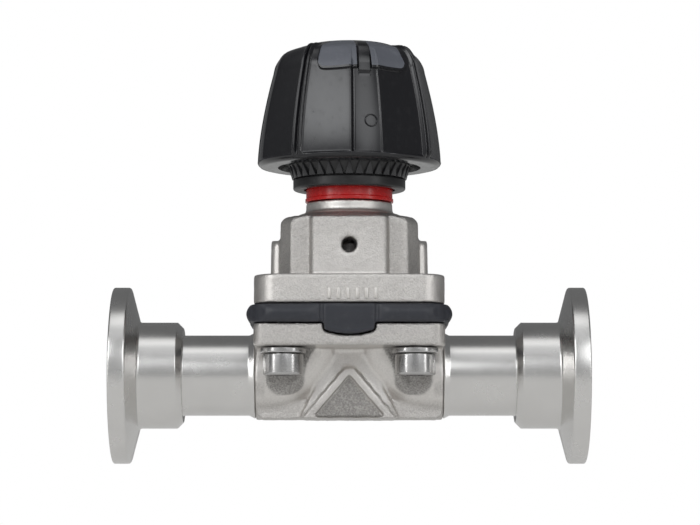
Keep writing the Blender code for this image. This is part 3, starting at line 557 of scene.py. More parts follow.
def passageLoop(bm, side, t, beyond, wall):
    size = bodyShape
    start = Vector((side * (bodyHigh.x - size["setback"]), 0.0))
    bend = Vector((side * (size["portCentre"] + size["bend"]), 0.0))
    finish = Vector((side * size["portCentre"], bodyHigh.z))
    along = ((bend - start) * (1 - t) + (finish - bend) * t).normalized()
    centre = start * (1 - t) ** 2 + bend * (2 * t * (1 - t)) + finish * t**2 + along * beyond
    across = Vector((along.y, -along.x))
    thick = wall + (size["portWall"] - size["wall"]) * t if wall else 0.0
    halfWidth = size["bore"] + (size["portHalfWidth"] - size["bore"]) * t * t + thick
    halfDepth = size["bore"] + (size["portHalfDepth"] - size["bore"]) * t + thick
    loop = []
    for k in range(size["sides"]):
        angle = 2 * math.pi * (k + 0.5) / size["sides"]
        flat = centre + across * (halfWidth * math.cos(angle))
        loop.append(bm.verts.new((flat.x * mm, halfDepth * math.sin(angle) * mm, flat.y * mm)))
    return loop


def passageShape(side, wall, reach, beyond):
    bm = bmesh.new()
    steps = bodyShape["steps"]
    rows = [passageLoop(bm, side, reach * i / steps, 0.0, wall) for i in range(steps + 1)]
    if beyond:
        rows = [passageLoop(bm, side, 0.0, -beyond, wall)] + rows
        rows.append(passageLoop(bm, side, 1.0, beyond, wall))
    for low, high in zip(rows, rows[1:]):
        for k in range(len(low)):
            j = (k + 1) % len(low)
            bm.faces.new((low[k], low[j], high[j], high[k]))
    bm.faces.new(rows[0])
    bm.faces.new(rows[-1])
    return bm


def tabOutline(halfWidth, drop, top, arc=1.2):
    level = rimLow.z + bodyShape["rimTab"] - drop + arc
    curve = [(halfWidth * s, level - arc * (1 - s * s)) for s in np.linspace(-1, 1, 15)]
    return curve + [(halfWidth, top), (-halfWidth, top)]


def makeBody():
    size = bodyShape
    foot, top = bodyLow.z, bodyHigh.z
    under = top - size["flangeDepth"]
    square = roundedSquare(bodyHigh.y, bodyHigh.y, size["flangeCorner"])
    body = meshObject("castBody", prism(square, under, top))
    webLow = foot + size["recessFoot"] / 2
    web = [(-size["webFoot"], webLow), (size["webFoot"], webLow)]
    web += [(size["webTip"], size["weirTop"]), (-size["webTip"], size["weirTop"])]
    rib = [(-size["ribFoot"], foot), (size["ribFoot"], foot)]
    rib += [(size["ribTip"], size["ribApex"]), (-size["ribTip"], size["ribApex"])]
    ends = bodyHigh.x - size["setback"] - size["endInset"]
    soleTop = foot + size["soleHeight"]
    sole = [(-ends, foot + 1), (1 - ends, foot), (ends - 1, foot), (ends, foot + 1)]
    sole += [(ends, soleTop), (-ends, soleTop)]
    solids = [
        plate(web, -size["webHalf"], size["webHalf"]),
        plate(rib, -size["ribHalf"], size["ribHalf"]),
        plate(sole, -size["soleHalf"], size["soleHalf"]),
    ]
    radius = size["bore"] + size["wall"] - size["endInset"]
    cutters = []
    sunk = size["ribFoot"] - size["ribWidth"]
    hollow = [(-sunk, foot + size["recessFoot"]), (sunk, foot + size["recessFoot"]), (0, size["recessApex"])]
    for side in (-1, 1):
        solids.append(passageShape(side, size["wall"], size["legShare"], 0.0))
        inner, outer = sorted((side * (ends + size["endInset"] - size["endWall"]), side * ends))
        wall = [(inner, -radius), (outer, -radius), (outer, radius), (inner, radius)]
        solids.append(prism(wall, 1, under + 2))
        cutters.append(passageShape(side, 0.0, 1.0, 2.0))
        face = side * size["ribHalf"]
        cutters.append(plate(hollow, face - size["recessDepth"], face + size["recessDepth"]))
    dish = [(0, size["weirTop"]), (size["seat"] - (top - size["weirTop"]), size["weirTop"])]
    dish += [(size["seat"], top), (size["seat"], top + 2), (0, top + 2)]
    cutters.append(revolve(dish, 64))
    for spot in screwSpots:
        cutters.append(rod(size["pocket"], foot - 2, under, 48, spot))
        cutters.append(rod(size["hole"], under - 2, top + 2, 32, spot))
    tab = tabOutline(size["tabHalf"], size["tabDrop"], top + 2)
    cutters.append(plate(tab, -bodyHigh.y - 3, -bodyHigh.y + 3))
    carve(body, solids, cutters, size["voxel"], size["smoothing"])
    x, y, z = pointData(body, "co").T / mm
    wide, deep = np.abs(x), np.abs(y)
    far = np.maximum(wide, deep)
    band = step(far, bodyHigh.y - 0.8, bodyHigh.y - 0.3) * step(z, under - 0.4, under + 0.3)
    # painted shade: the pockets round the screws under the flange and the scooped hollows beside them are
    # darkened where shade falls, over their rough cast grain
    beside = np.hypot(wide - screwReach, deep - screwReach)
    pocket = 1 - step(beside, size["pocket"] + 0.1, size["pocket"] + 0.8)
    pocket = pocket * (1 - step(z, under + 0.2, under + 0.8))
    # the scooped hollow round each screw widens upwards on its inner side and is round below
    inner = size["pocketWide"] + size["pocketTaper"] * np.clip((z + 2) / 9.3, 0, 1) ** 2
    reach = np.where(wide < size["pocketMiddle"], inner, size["pocketWide"])
    rounding = np.sqrt(np.clip(1 - (np.clip(-2 - z, 0, 4) / 4) ** 2, 0, 1))
    limit = reach * rounding
    scoop = 1 - step(np.abs(wide - size["pocketMiddle"]), limit - 0.5, limit + 0.4)
    scoop = scoop * step(z, size["pocketFoot"], size["pocketFoot"] + 0.6)
    scoop = scoop * (1 - step(z, under, under + 0.4)) * step(deep, 7, 8.5)
    pocket = np.maximum(pocket, scoop)
    lean = sunk * (size["recessApex"] - z) / (size["recessApex"] - foot)
    triangle = step(lean - wide, -0.1, 0.6) * step(deep, 9.3, 9.8) * (1 - step(deep, 10.9, 11.3))
    strip = step(wide, 23.4, 24.2) * step(z, -9, -4) * (1 - step(deep, 12.2, 12.8)) * step(deep, 6, 9)
    # painted shade: the plain mask rises towards the body's foot, so the foot is darker
    plain = size["plainRough"] + size["footRough"] * (1 - step(z, -10.5, -6))
    roughenAndShade(body, [band * size["bandRough"], pocket, triangle, strip * size["stripRough"], plain], size)
    addPiece(body, "root", "cast", ["body_casting"])


makeBody()
print("body made")

# Rubber diaphragm: the rim that bulges between the flanges, with a tab in front.
rimShape = {
    "corner": 8.0, "edge": 1.9, "seat": 13.0, "hole": 3.3, "tabHalf": 7.0, "tabDrop": 3.3,
    "tabThickness": 3.0, "tabInset": 0.2, "slit": 0.7, "slitAt": 7.7, "bulge": 0.7, "hollow": 0.5,
    "voxel": 0.4, "smoothing": 3, "lumpDepth": 0.3, "lumpSize": 6.0,
}


def makeRim():
    size = rimShape
    bottom, top = rimLow.z + size["tabDrop"], rimHigh.z
    bm = prism(roundedSquare(rimHigh.x, rimHigh.x, size["corner"], 12), bottom, top)
    flat = [e for e in bm.edges if abs(e.verts[0].co.z - e.verts[1].co.z) < 1e-7]
    rim = meshObject("diaphragmRim", bevelled(bm, flat, size["edge"], 5))
    front = -rimHigh.x + size["tabInset"]
    tab = plate(tabOutline(size["tabHalf"], size["tabDrop"], top - 0.3), front, front + size["tabThickness"])
    cutters = [rod(size["seat"], bottom - 2, top + 2, 96)]
    cutters += [rod(size["hole"], bottom - 2, top + 2, 32, spot) for spot in screwSpots]
    for side in (-1, 1):
        cutters.append(rod(size["slit"], bottom - 5, top + 2, 16, (side * size["slitAt"], -rimHigh.x)))
    carve(rim, [tab], cutters, size["voxel"], size["smoothing"])
    places = pointData(rim, "co")
    x, y, z = places.T / mm
    middle, half = (bottom + top) / 2, (top - bottom) / 2
    crown = 1 - np.clip(np.abs(z - middle) / half, 0, 1) ** 2
    for axis, across in ((0, y), (1, x)):
        along = places[:, axis] / mm
        ends = step(np.abs(across), 8.0, 12.0) * (1 - step(np.abs(across), 21, 27))
        outside = step(np.abs(along), rimHigh.x - 1.5, rimHigh.x - 0.6)
        push = outside * (ends * crown * size["bulge"] - (1 - crown) * ends * size["hollow"])
        beyond = np.where(np.abs(along) > rimHigh.x - 1.5, push, 0)
        if axis:
            beyond = np.where((np.abs(across) < 8.0) & (along < 0), 0, beyond)
        places[:, axis] += np.sign(along) * beyond * mm
    movePoints(rim, places)
    roughenAndShade(rim, [np.zeros(len(x))], size)
    addPiece(rim, "root", "rubber", ["diaphragm_rim"])


makeRim()

# Its middle moves with the compressor, and the web round it is built as sectors that stay in place.
membraneShape = {"thickness": 2.4, "sag": 1.2, "edge": 12.7, "middle": 8.8, "sectors": 12, "steps": 6}


def membraneUnder(radius):
    size = membraneShape
    share = radius / size["edge"]
    return membraneHigh.z - size["thickness"] + size["sag"] * share * share


def membraneOutline(inner, outer):
    radii = np.linspace(inner, outer, 7)
    return [(r, membraneUnder(r)) for r in radii] + [(r, membraneHigh.z) for r in radii[::-1]]


def makeMembrane():
    size = membraneShape
    middle = turned("membraneMiddle", membraneOutline(0, size["middle"]), 96)
    addPiece(middle, "compressor", "rubber", ["diaphragm_membrane"])
    ring = membraneOutline(size["middle"], size["edge"])
    for index in range(size["sectors"]):
        bm = bmesh.new()
        start = 2 * math.pi * index / size["sectors"]
        rows = []
        for k in range(size["steps"] + 1):
            angle = start + 2 * math.pi / size["sectors"] * k / size["steps"]
            turn = (math.cos(angle) * mm, math.sin(angle) * mm)
            rows.append([bm.verts.new((r * turn[0], r * turn[1], z * mm)) for r, z in ring])
        for here, there in zip(rows, rows[1:]):
            joinRings(bm, here, there)
        bm.faces.new(rows[0])
        bm.faces.new(rows[-1])
        web = meshObject(f"membraneWeb{index + 1}", bm, 50)
        web.data.materials.append(looks["rubber"])
        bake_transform(web)


makeMembrane()
print("diaphragm made")

# Cast bonnet: square flange, tower with cut corners, pads, lugs and a round neck.
bonnetShape = {
    "flange": 8.2, "corner": 8.0, "edge": 1.4, "towerHalf": 19.75, "towerCut": 3.2, "draft": 0.99,
    "tower": 17.4, "capRise": 1.5, "capInset": 1.6, "capStart": 0.8, "fillet": 1.2, "padHalf": 11.0,
    "padProud": 0.45, "lugProud": 2.75, "lugHalf": 9.0, "lugHeight": 10.9, "neck": 12.45, "spigot": 10.15,
    "neckHeight": 3.3, "seat": 13.0, "recess": 1.5, "headX": 7.8, "headY": 10.8, "headTop": 24.6,
    "guide": 8.3, "guideTop": 38.3, "bushBore": 8.4, "vent": 2.2, "ventHeight": 8.7, "hole": 3.3,
    "holeTop": 25.75, "voxel": 0.45, "smoothing": 4, "lumpDepth": 0.10, "lumpSize": 1.2,
    "towerEdge": 2.6, "padEdge": 0.7, "lugEdge": 1.9, "bandRough": 0.42, "towerRough": 0.58,
    "padSmooth": 0.48, "plainRough": 0.12,
}


def softBlock(outline, low, high, edge, draft=1.0, segments=4):
    bm = prism(outline, low, high, draft)
    top = [e for e in bm.edges if all(abs(v.co.z - high * mm) < 1e-7 for v in e.verts)]
    return bevelled(bm, top, edge, segments, True)


def makeBonnet():
    size = bonnetShape
    foot = bonnetLow.z
    shoulder = foot + size["flange"]
    top = shoulder + size["tower"]
    neckFoot = top + size["capRise"]
    neckTop = neckFoot + size["neckHeight"]
    square = roundedSquare(bodyHigh.y, bodyHigh.y, size["corner"], 10)
    bonnet = meshObject("castBonnet", softBlock(square, foot, shoulder, size["edge"]))
    half, cut, pad = size["towerHalf"], size["towerCut"], size["padHalf"]
    quarter = [(half, pad), (half - cut, half - cut), (pad, half - cut)]
    plan = []
    for turn, (signX, signY) in enumerate(((1, 1), (-1, 1), (-1, -1), (1, -1))):
        plan += [(x * signX, y * signY) for x, y in (quarter if turn % 2 == 0 else quarter[::-1])]
    neck = [
        (0, top - 3), (half - size["capInset"] - 1.2, top - size["capStart"]),
        (size["neck"] + size["fillet"] + 1.0, neckFoot - 0.15), (size["neck"] + 0.45, neckFoot + 0.25),
        (size["neck"], neckFoot + 1), (size["neck"], neckTop), (size["spigot"], neckTop),
        (size["spigot"], bonnetHigh.z), (0, bonnetHigh.z),
    ]
    padPlan = roundedSquare(pad, half + size["padProud"], 1.5, 4)
    lugPlan = roundedSquare(half + size["lugProud"], size["lugHalf"], 2.4, 5)
    lugTop = shoulder + size["lugHeight"]
    solids = [
        softBlock(plan, shoulder - 2, top, size["towerEdge"], size["draft"], 6),
        softBlock(padPlan, shoulder - 1.4, top - 0.4, size["padEdge"], size["draft"]),
        softBlock(lugPlan, shoulder - 1.6, lugTop, size["lugEdge"], size["draft"]),
        revolve(neck, 96),
    ]
    headPlan = roundedSquare(size["headX"], size["headY"], size["headX"] * 0.8)
    cutters = [
        rod(size["seat"], foot - 2, foot + size["recess"], 64),
        prism(headPlan, foot - 1.6, size["headTop"]),
        rod(size["guide"], foot, size["guideTop"]),
        rod(size["bushBore"], size["guideTop"] - 3, bonnetHigh.z + 2),
    ]
    vent = moved(rod(size["vent"], 6, 28, 32), Matrix.Rotation(math.pi / 2, 4, "X"))
    cutters.append(moved(vent, Matrix.Translation((0, 0, (shoulder + size["ventHeight"]) * mm))))
    cutters += [rod(size["hole"], foot - 2, size["holeTop"], 32, spot) for spot in screwSpots]
    carve(bonnet, solids, cutters, size["voxel"], size["smoothing"])
    x, y, z = pointData(bonnet, "co").T / mm
    far, near = np.maximum(np.abs(x), np.abs(y)), np.minimum(np.abs(x), np.abs(y))
    band = step(far, bodyHigh.y - 0.8, bodyHigh.y - 0.3) * size["bandRough"]
    onPads = step(far, half + 0.2, half + 0.5) * (1 - step(near, pad - 0.8, pad + 0.2))
    tower = step(z, shoulder - 0.5, shoulder + 1) * (1 - step(z, top, top + 1.5))
    tower = tower * (size["towerRough"] - size["padSmooth"] * onPads)
    # painted shade: the vent's bore is as dark as the finish goes
    beside = np.hypot(x, z - shoulder - size["ventHeight"])
    bore = 1 - step(beside, size["vent"] + 0.15, size["vent"] + 0.4)
    bore = bore * step(-y, 6, 8) * (1 - step(-y, 19, 19.8))
    roughenAndShade(bonnet, [band, tower, bore * 4, np.full(len(x), size["plainRough"])], size)
    addPiece(bonnet, "root", "cast", ["bonnet"])


makeBonnet()

# A row of plain raised bars on the bonnet's flange, where a casting carries its marks.
barShape = {
    "width": 0.85, "depth": 1.2, "height": 3.0, "edge": 0.2, "raised": 0.5, "count": 6, "first": -5.6,
    "pitch": 2.6, "level": 21.8,
}


def makeBars():
    size = barShape
    bm = bmesh.new()
    bmesh.ops.create_cube(bm, size=mm)
    bmesh.ops.scale(bm, vec=(size["width"], size["depth"], size["height"]), verts=bm.verts[:])
    bar = meshObject("barPattern", bevelled(bm, bm.edges[:], size["edge"], 3))
    depth = -bodyHigh.y - size["raised"] + size["depth"] / 2
    start = Vector((size["first"], depth, size["level"])) * mm
    offset = Vector((size["pitch"] * mm, 0, 0))
    given = {"Count": size["count"], "Start": start, "Offset": offset, "Finish": looks["cast"]}
    addPiece(layCopies("castBars", rowTree, bar, given), "root", None)


makeBars()
print("bonnet made")

# Four cap screws from below, with their washers.
screwShape = {
    "head": 5.9, "edge": 0.75, "shank": 3.0, "socket": 2.887, "socketDepth": 3.0, "hole": 3.3, "segments": 64,
}


def makeScrews():
    size = screwShape
    radius = (screwHigh.x - screwLow.x) / 2
    low, seat, tip = screwLow.z, screwLow.z + size["head"], screwHigh.z
    profile = rounded([
        (0, low, 0), (radius, low, size["edge"]), (radius, seat, 0.25), (size["shank"], seat, 0.2),
        (size["shank"], tip, 0.7), (0, tip, 0),
    ])
    screw = meshObject("screwPattern", revolve(profile, size["segments"]), 35)
    carve(screw, [], [rod(size["socket"], low - 2, low + size["socketDepth"], 6)])
    screw.data.set_sharp_from_angle(angle=math.radians(35))
    given = {"Count": 4, "Radius": screwReach * math.sqrt(2) * mm, "Phase": math.pi / 4}
    given["Finish"] = looks["bright"]
    nodes = [f"bonnet_screw_{k}" for k in range(1, 5)]
    addPiece(layCopies("capScrews", roundTree, screw, given), "root", None, nodes)
    outer = (washerHigh.x - washerLow.x) / 2
    bottom, top = washerLow.z, washerHigh.z
    profile = rounded([
        (size["hole"], bottom, 0.1), (outer, bottom, 0.35), (outer, top, 0.35), (size["hole"], top, 0.1),
    ])
    washer = meshObject("washerPattern", revolve(profile, size["segments"]), 35)
    nodes = [f"bonnet_washer_{k}" for k in range(1, 5)]
    addPiece(layCopies("screwWashers", roundTree, washer, given), "root", None, nodes)


makeScrews()
print("screws made")

# Rings between bonnet and handwheel.
ringShape = {
    "redInner": 10.45, "red": 12.45, "redLip": 0.9, "stopInner": 13.15, "sleeve": 15.0, "stopHeight": 2.9,
    "crownFoot": 15.45, "crownBand": 17.5, "crownInner": 15.2, "bandAt": 3.6, "teeth": 36, "toothDepth": 0.7,
    "toothWidth": 0.98, "footWidth": 0.86, "toothEdge": 0.12, "segments": 144,
}


def makeRings():
    size = ringShape
    lip = redHigh.x
    profile = rounded([
        (size["redInner"], redLow.z, 0.1), (lip, redLow.z, 0.2), (lip, redLow.z + size["redLip"], 0.25),
        (size["red"], redLow.z + size["redLip"] + 0.3, 0.2), (size["red"], redHigh.z, 0.25),
        (size["redInner"], redHigh.z, 0.1),
    ])
    ring = turned("indicatorRing", profile, size["segments"])
    addPiece(ring, "root", "red", ["indicator_ring"])
    outer = stopHigh.x
    ledge = stopLow.z + size["stopHeight"]
    profile = rounded([
        (size["stopInner"], stopLow.z, 0.4), (outer, stopLow.z, 0.7), (outer, ledge, 0.35),
        (size["sleeve"], ledge, 0.1), (size["sleeve"], stopHigh.z, 0.2), (size["stopInner"], stopHigh.z, 0.2),
    ])
    addBlack(turned("stopRing", profile, size["segments"]), "ring", ["stop_ring"])
    band = crownLow.z + size["bandAt"]
    crown = crownHigh.x
    profile = rounded([
        (size["crownInner"], crownLow.z, 0.2), (size["crownFoot"], crownLow.z, 0.15),
        (size["crownBand"] - 0.3, band, 0.15), (size["crownBand"], band + 0.15, 0.1),
        (size["crownBand"], band + 1.2, 0.1), (crown, band + 1.5, 0.1), (crown, crownHigh.z, 0.3),
        (size["crownInner"], crownHigh.z, 0.2),
    ])
    addBlack(turned("crownRing", profile, size["segments"]), "ring", ["toothed_crown"])
    # one tooth, with its foot standing out and its tip running into the band
    half = math.pi * size["crownFoot"] / size["teeth"] * size["toothWidth"]
    foot, tip = crownLow.z, band + 0.1
    innerFoot, outerFoot = size["crownFoot"] - 0.6, size["crownFoot"] + size["toothDepth"] + 0.35
    innerTip, outerTip = size["crownBand"] - 0.8, size["crownBand"] + 0.05
    narrow = half * size["footWidth"]
    corners = [
        (innerFoot, -half, foot), (outerFoot, -narrow, foot),
        (outerFoot, narrow, foot), (innerFoot, half, foot),
        (innerTip, -0.25, tip), (outerTip, -0.15, tip), (outerTip, 0.15, tip), (innerTip, 0.25, tip),
    ]
    bm = bmesh.new()
    points = [bm.verts.new(((x - size["crownFoot"]) * mm, y * mm, z * mm)) for x, y, z in corners]
    for loop in ((0, 1, 2, 3), (4, 5, 6, 7), (0, 1, 5, 4), (1, 2, 6, 5), (2, 3, 7, 6), (3, 0, 4, 7)):
        bm.faces.new([points[i] for i in loop])
    tooth = meshObject("toothPattern", bevelled(bm, bm.edges[:], size["toothEdge"], 2), 50)
    given = {"Count": size["teeth"], "Radius": size["crownFoot"] * mm, "Phase": 0.0, "Finish": looks["tooth"]}
    addBlack(layCopies("crownTeeth", roundTree, tooth, given), None)


makeRings()
print("rings made")

# Handwheel: one turned shell whose outside is pressed in and out lobe by lobe.
wheelShape = {
    "skirt": 0.6, "drop": 4.5, "power": 1.6, "shoulder": 8.0, "edge": 1.6, "mouth": 20.6, "roof": 11.8,
    "lobes": 4, "phase": -79.0, "panelFrom": 10.0, "panelTo": 41.5, "dip": 1.1, "lip": 1.1, "lipStep": 0.3,
    "groove": 0.45, "grooveDepth": 0.5, "flatDepth": 0.35, "ridge": 0.6, "seam": 0.8, "bead": 0.4,
    "beadAt": 42.7, "beadWidth": 0.7, "padLobes": (0, 2), "padTo": 35.5, "padCorner": (5, 2.5),
    "notch": 5.2, "padLow": 26.0, "padHigh": 84.0, "padRise": 0.8, "padFlat": 0.3, "padLip": 0.7,
    "shoulderFlat": 0.5, "topDrop": 0.9, "rib": 0.7, "ribHalf": 3.9, "ribFoot": 2.0,
    "columnStep": 1.6, "rowStep": 0.85, "fineRows": 0.12,
}
# (angle, reach, spacing) of the closer columns round each lobe's edges
fineColumns = [
    (-45, 1.6, 0.3), (-41.5, 1.2, 0.3), (-33.5, 3.2, 0.6), (-9.2, 1.6, 0.3), (-4.6, 2.2, 0.3),
    (4.6, 2.2, 0.3), (9.4, 1.2, 0.3), (33.5, 3.2, 0.6), (41.5, 1.2, 0.3), (44, 1.0, 0.3),
]
# (radius, height, rounding) down the inside, from the roof through the hub to the mouth
wheelInside = [
    (11.8, 32.5, 0.2), (5.3, 32.5, 0.2), (5.3, 27.9, 0.2), (2.8, 27.9, 0.1), (2.8, 26.1, 0.1),
    (8.15, 26.1, 0.1), (8.15, 10.5, 0.2), (10.75, 10.5, 0.2), (10.75, 24.8, 0.9), (11.75, 25.8, 0.3),
    (16.3, 25.8, 0.3), (17.3, 24.8, 0.9), (20.6, 4.5, 0.8),
]


def wheelProfile():
    # (radius, height) up the outside, with the outward direction at each point
    size = wheelShape
    radius, height = wheelHigh.x, wheelHigh.z - wheelLow.z
    flank = height - size["shoulder"]
    low, mouth, edge = -size["skirt"], size["mouth"], size["edge"]
    points = [(mouth + (radius - edge - mouth) * t, low) for t in np.linspace(0, 1, 8)[:-1]]
    for a in np.radians(np.linspace(-90, 0, 12)[:-1]):
        points.append((radius - edge + edge * math.cos(a), low + edge * (1 + math.sin(a))))
    for z in np.linspace(low + edge, flank, 60):
        points.append((radius - size["drop"] * (z / flank) ** size["power"], z))
    top = radius - size["drop"] - size["shoulder"]
    for a in np.radians(np.linspace(0, 90, 40)[1:]):
        points.append((top + size["shoulder"] * math.cos(a), flank + size["shoulder"] * math.sin(a)))
    points += [(top + (size["roof"] - top) * t, height) for t in (0.5, 1.0)]
    points = np.array(points)
    travel = np.concatenate([[0], np.cumsum(np.hypot(*np.diff(points, axis=0).T))])
    # rows lie closer together where the lip and the pads' lower edges are
    wanted = [np.arange(0, travel[-1], size["rowStep"])]
    for level, reach in ((size["lip"], 0.6), (size["padLow"], 1.8)):
        middle = travel[np.argmin(np.abs(points[:, 1] - level) + (points[:, 0] < 14))]
        wanted.append(np.arange(middle - reach, middle + reach, size["fineRows"]))
    wanted = np.unique(np.round(np.concatenate(wanted + [[travel[-1]]]), 3))
    wanted = wanted[np.concatenate([[True], np.diff(wanted) > 0.05])]
    line = np.stack([np.interp(wanted, travel, points[:, i]) for i in (0, 1)], 1)
    way = np.gradient(line, wanted, axis=0)
    way /= np.hypot(way[:, 0], way[:, 1])[:, None]
    return line, np.stack([way[:, 1], -way[:, 0]], 1)


def wheelRelief(across, radius, z, padded):
    # how far the surface stands out at this angle from a lobe's middle, and where the pads are
    size = wheelShape
    flank = wheelHigh.z - wheelLow.z - size["shoulder"]
    wide = np.abs(across)
    arc = np.degrees(np.arcsin(np.clip((z - flank) / size["shoulder"], 0, 1)))

    def until(low, high):
        return 1 - step(arc, low, high)

    onFlank = step(z, size["lip"] - size["lipStep"], size["lip"] + size["lipStep"])
    share = np.clip((wide - size["panelFrom"]) / (size["panelTo"] - size["panelFrom"]), 0, 1)
    panel = -size["dip"] * np.sin(np.pi * share) ** 0.75 * onFlank * until(20, 60)
    leftEdge = (across + size["panelFrom"] - 1.0) * math.pi / 180 * radius
    groove = -size["grooveDepth"] * np.clip(1 - np.abs(leftEdge) / size["groove"], 0, 1)
    groove = groove * onFlank * until(5, 12)
    flat = 1 - step(wide, size["panelFrom"] - 1.2, size["panelFrom"] - 0.4)
    flat = -size["flatDepth"] * flat * onFlank * until(2, 50)
    ridge = size["ridge"] * step(wide, size["panelTo"] - 0.4, size["panelTo"] + 0.6)
    ridge = ridge - size["seam"] * (1 - step(np.abs(wide - 180 / size["lobes"]), 0.5, 1.3))
    ridge = ridge * until(50, 88) * step(z, 0.4, 1.6)
    bead = size["bead"] * np.exp(-((wide - size["beadAt"]) / size["beadWidth"]) ** 2)
    bead = bead * until(50, 88) * step(z, 1, 2.5)
    # each pad stands on a slightly longer black lip, both with rounded lower corners
    reach, rise = size["padCorner"]
    beyond = np.clip(wide - size["padTo"] + reach, 0, None) / reach
    masks = []
    for low in (size["padLow"], size["padLow"] - size["padLip"]):
        corner = np.where(beyond > 0, np.hypot(beyond, np.clip(low + rise - z, 0, None) / rise), 0)
        mask = step(z, low - 0.15, low + 0.15) * (1 - step(corner, 0.94, 1.06)) * padded
        masks.append(mask * step(wide, size["notch"] - 0.4, size["notch"] + 0.4))
    onPad, raised = masks
    along = np.clip(arc / size["padHigh"], 0, 1)
    pad = raised * (size["padRise"] * (1 - along) - size["padFlat"] * np.sin(np.pi * along))
    rib = padded * size["rib"] * (1 - step(wide, size["ribHalf"], size["ribHalf"] + 0.7)) * until(60, 85)
    rib = rib * step(z, size["padLow"] - size["ribFoot"], size["padLow"] - size["ribFoot"] + 0.6)
    shoulder = -size["shoulderFlat"] * np.sin(np.pi * along)
    shoulder = shoulder - size["topDrop"] * step(arc, 40, 75) * step(radius, 12.0, 14.5)
    return panel + groove + flat + ridge + pad + rib + bead + shoulder, onPad


def makeHandwheel():
    size = wheelShape
    lobe = 360 / size["lobes"]
    spots = [np.arange(-lobe / 2, lobe / 2, size["columnStep"])]
    spots += [np.arange(middle - reach, middle + reach, spacing) for middle, reach, spacing in fineColumns]
    spots = np.unique(np.round(np.clip(np.concatenate(spots), -lobe / 2, lobe / 2 - 0.2), 2))
    spots = spots[np.concatenate([[True], np.diff(spots) > 0.15])]
    line, facing = wheelProfile()
    radius, height = line.T
    # the rim's underside keeps its shape near the mouth
    held = np.where(height > 10, 1, np.clip((radius - size["mouth"]) / 3, 0, 1))
    inner = list(rounded(wheelInside, 3))
    bm = bmesh.new()
    columns = []
    padShares = []
    for index in range(size["lobes"]):
        padded = float(index in size["padLobes"])
        for across in spots:
            turn = math.radians(size["phase"] + lobe * index + across)
            relief, onPad = wheelRelief(across, radius, height, padded)
            ring = [(r, z) for r, z in line + facing * (relief * held)[:, None]] + inner
            cosine, sine = math.cos(turn) * mm, math.sin(turn) * mm
            columns.append([bm.verts.new((r * cosine, r * sine, (z + wheelLow.z) * mm)) for r, z in ring])
            padShares.append(np.concatenate([onPad, np.zeros(len(inner))]))
    count = len(columns[0])
    for k in range(len(columns)):
        following = (k + 1) % len(columns)
        here, there = columns[k], columns[following]
        shares = padShares[k] + padShares[following]
        for i in range(count):
            j = (i + 1) % count
            face = bm.faces.new((here[i], there[i], there[j], here[j]))
            face.material_index = int(shares[i] + shares[j] > 2.6)  # the pad's grey, a painted sheen, not the black
    wheel = meshObject("handwheelGrip", bm, 60)
    wheel.data.materials.append(looks["grip"])
    wheel.data.materials.append(looks["pad"])
    addBlack(wheel, None, ["handwheel"])


makeHandwheel()

capShape = {"edge": 0.6, "groove": 8.6, "grooveWidth": 0.5, "grooveDepth": 0.35, "segments": 128}


def makeCap():
    size = capShape
    radius = capHigh.x
    low, high = capLow.z, capHigh.z
    groove, wide, sunk = size["groove"], size["grooveWidth"], high - size["grooveDepth"]
    profile = rounded([
        (0, low, 0), (radius, low, 0.2), (radius, high, size["edge"]), (groove + wide, high, 0.15),
        (groove, sunk, 0.15), (groove - wide, high, 0.15), (0, high, 0),
    ])
    # the cap takes the pads' grey, a painted sheen
    addBlack(turned("topCap", profile, size["segments"]), "pad", ["top_cap"])


makeCap()

# A plain moulded ring on one flat panel.
markShape = {"radius": 1.7, "section": 0.22, "height": 10.0, "turn": -76.0, "sunk": 0.30}


def makeMark():
    size = markShape
    profile = [
        (size["radius"] + size["section"] * math.cos(a), size["section"] * math.sin(a))
        for a in np.linspace(0, 2 * math.pi, 9)[:-1]
    ]
    bm = revolve(profile, 32)
    flank = wheelHigh.z - wheelLow.z - wheelShape["shoulder"]
    drop, power, share = wheelShape["drop"], wheelShape["power"], size["height"] / flank
    radius = wheelHigh.x - drop * share**power - size["sunk"]
    lean = math.atan(drop * power / flank * share ** (power - 1))
    turn = Matrix.Rotation(math.radians(size["turn"]), 4, "Z")
    place = Matrix.Translation((radius * mm, 0, (wheelLow.z + size["height"]) * mm))
    moved(bm, turn @ place @ Matrix.Rotation(math.pi / 2 - lean, 4, "Y"))
    addBlack(meshObject("panelMark", bm), "grip")


makeMark()
print("handwheel made")

carriedOver = {
    "spindle": "bright", "spindle_bush": "bronze", "stem_o_ring": "rubber", "compressor": "bright",
    "compressor_pin": "bright", "thrust_washer": "bronze", "diaphragm_stud": "bright",
    "hub_insert": "bronze", "hub_washer": "bright", "hub_screw": "bright",
}
for node, look in carriedOver.items():
    item = frame["nodes"][node]
    if not item.material_slots:
        item.data.materials.append(looks[look])
    for place in item.material_slots:
        place.material = looks[look]

# Studio: a pale floor, a procedural soft sky and a few lamps.
studio = {
    "floor": -120.0, "floorHalf": 3000.0, "cameraPlace": (0.2, -787.1, -34.9),
    "cameraTarget": (0.2, 0.0, 32.6), "lens": 141.0, "base": 0.17, "floorGlow": 0.22,
}
# azimuth from the front to the right, elevation, inner and outer half-angle, strength
softLights = [
    (0, 63, 8, 27, 0.60),
    (-40, 6, 6, 28, 0.50),
    (40, 6, 6, 28, 0.46),
    (0, 15, 3, 27, 0.24),
    (-31, 30, 1, 17, 4.4),
    (22, 27, 2, 20, 2.4),
]


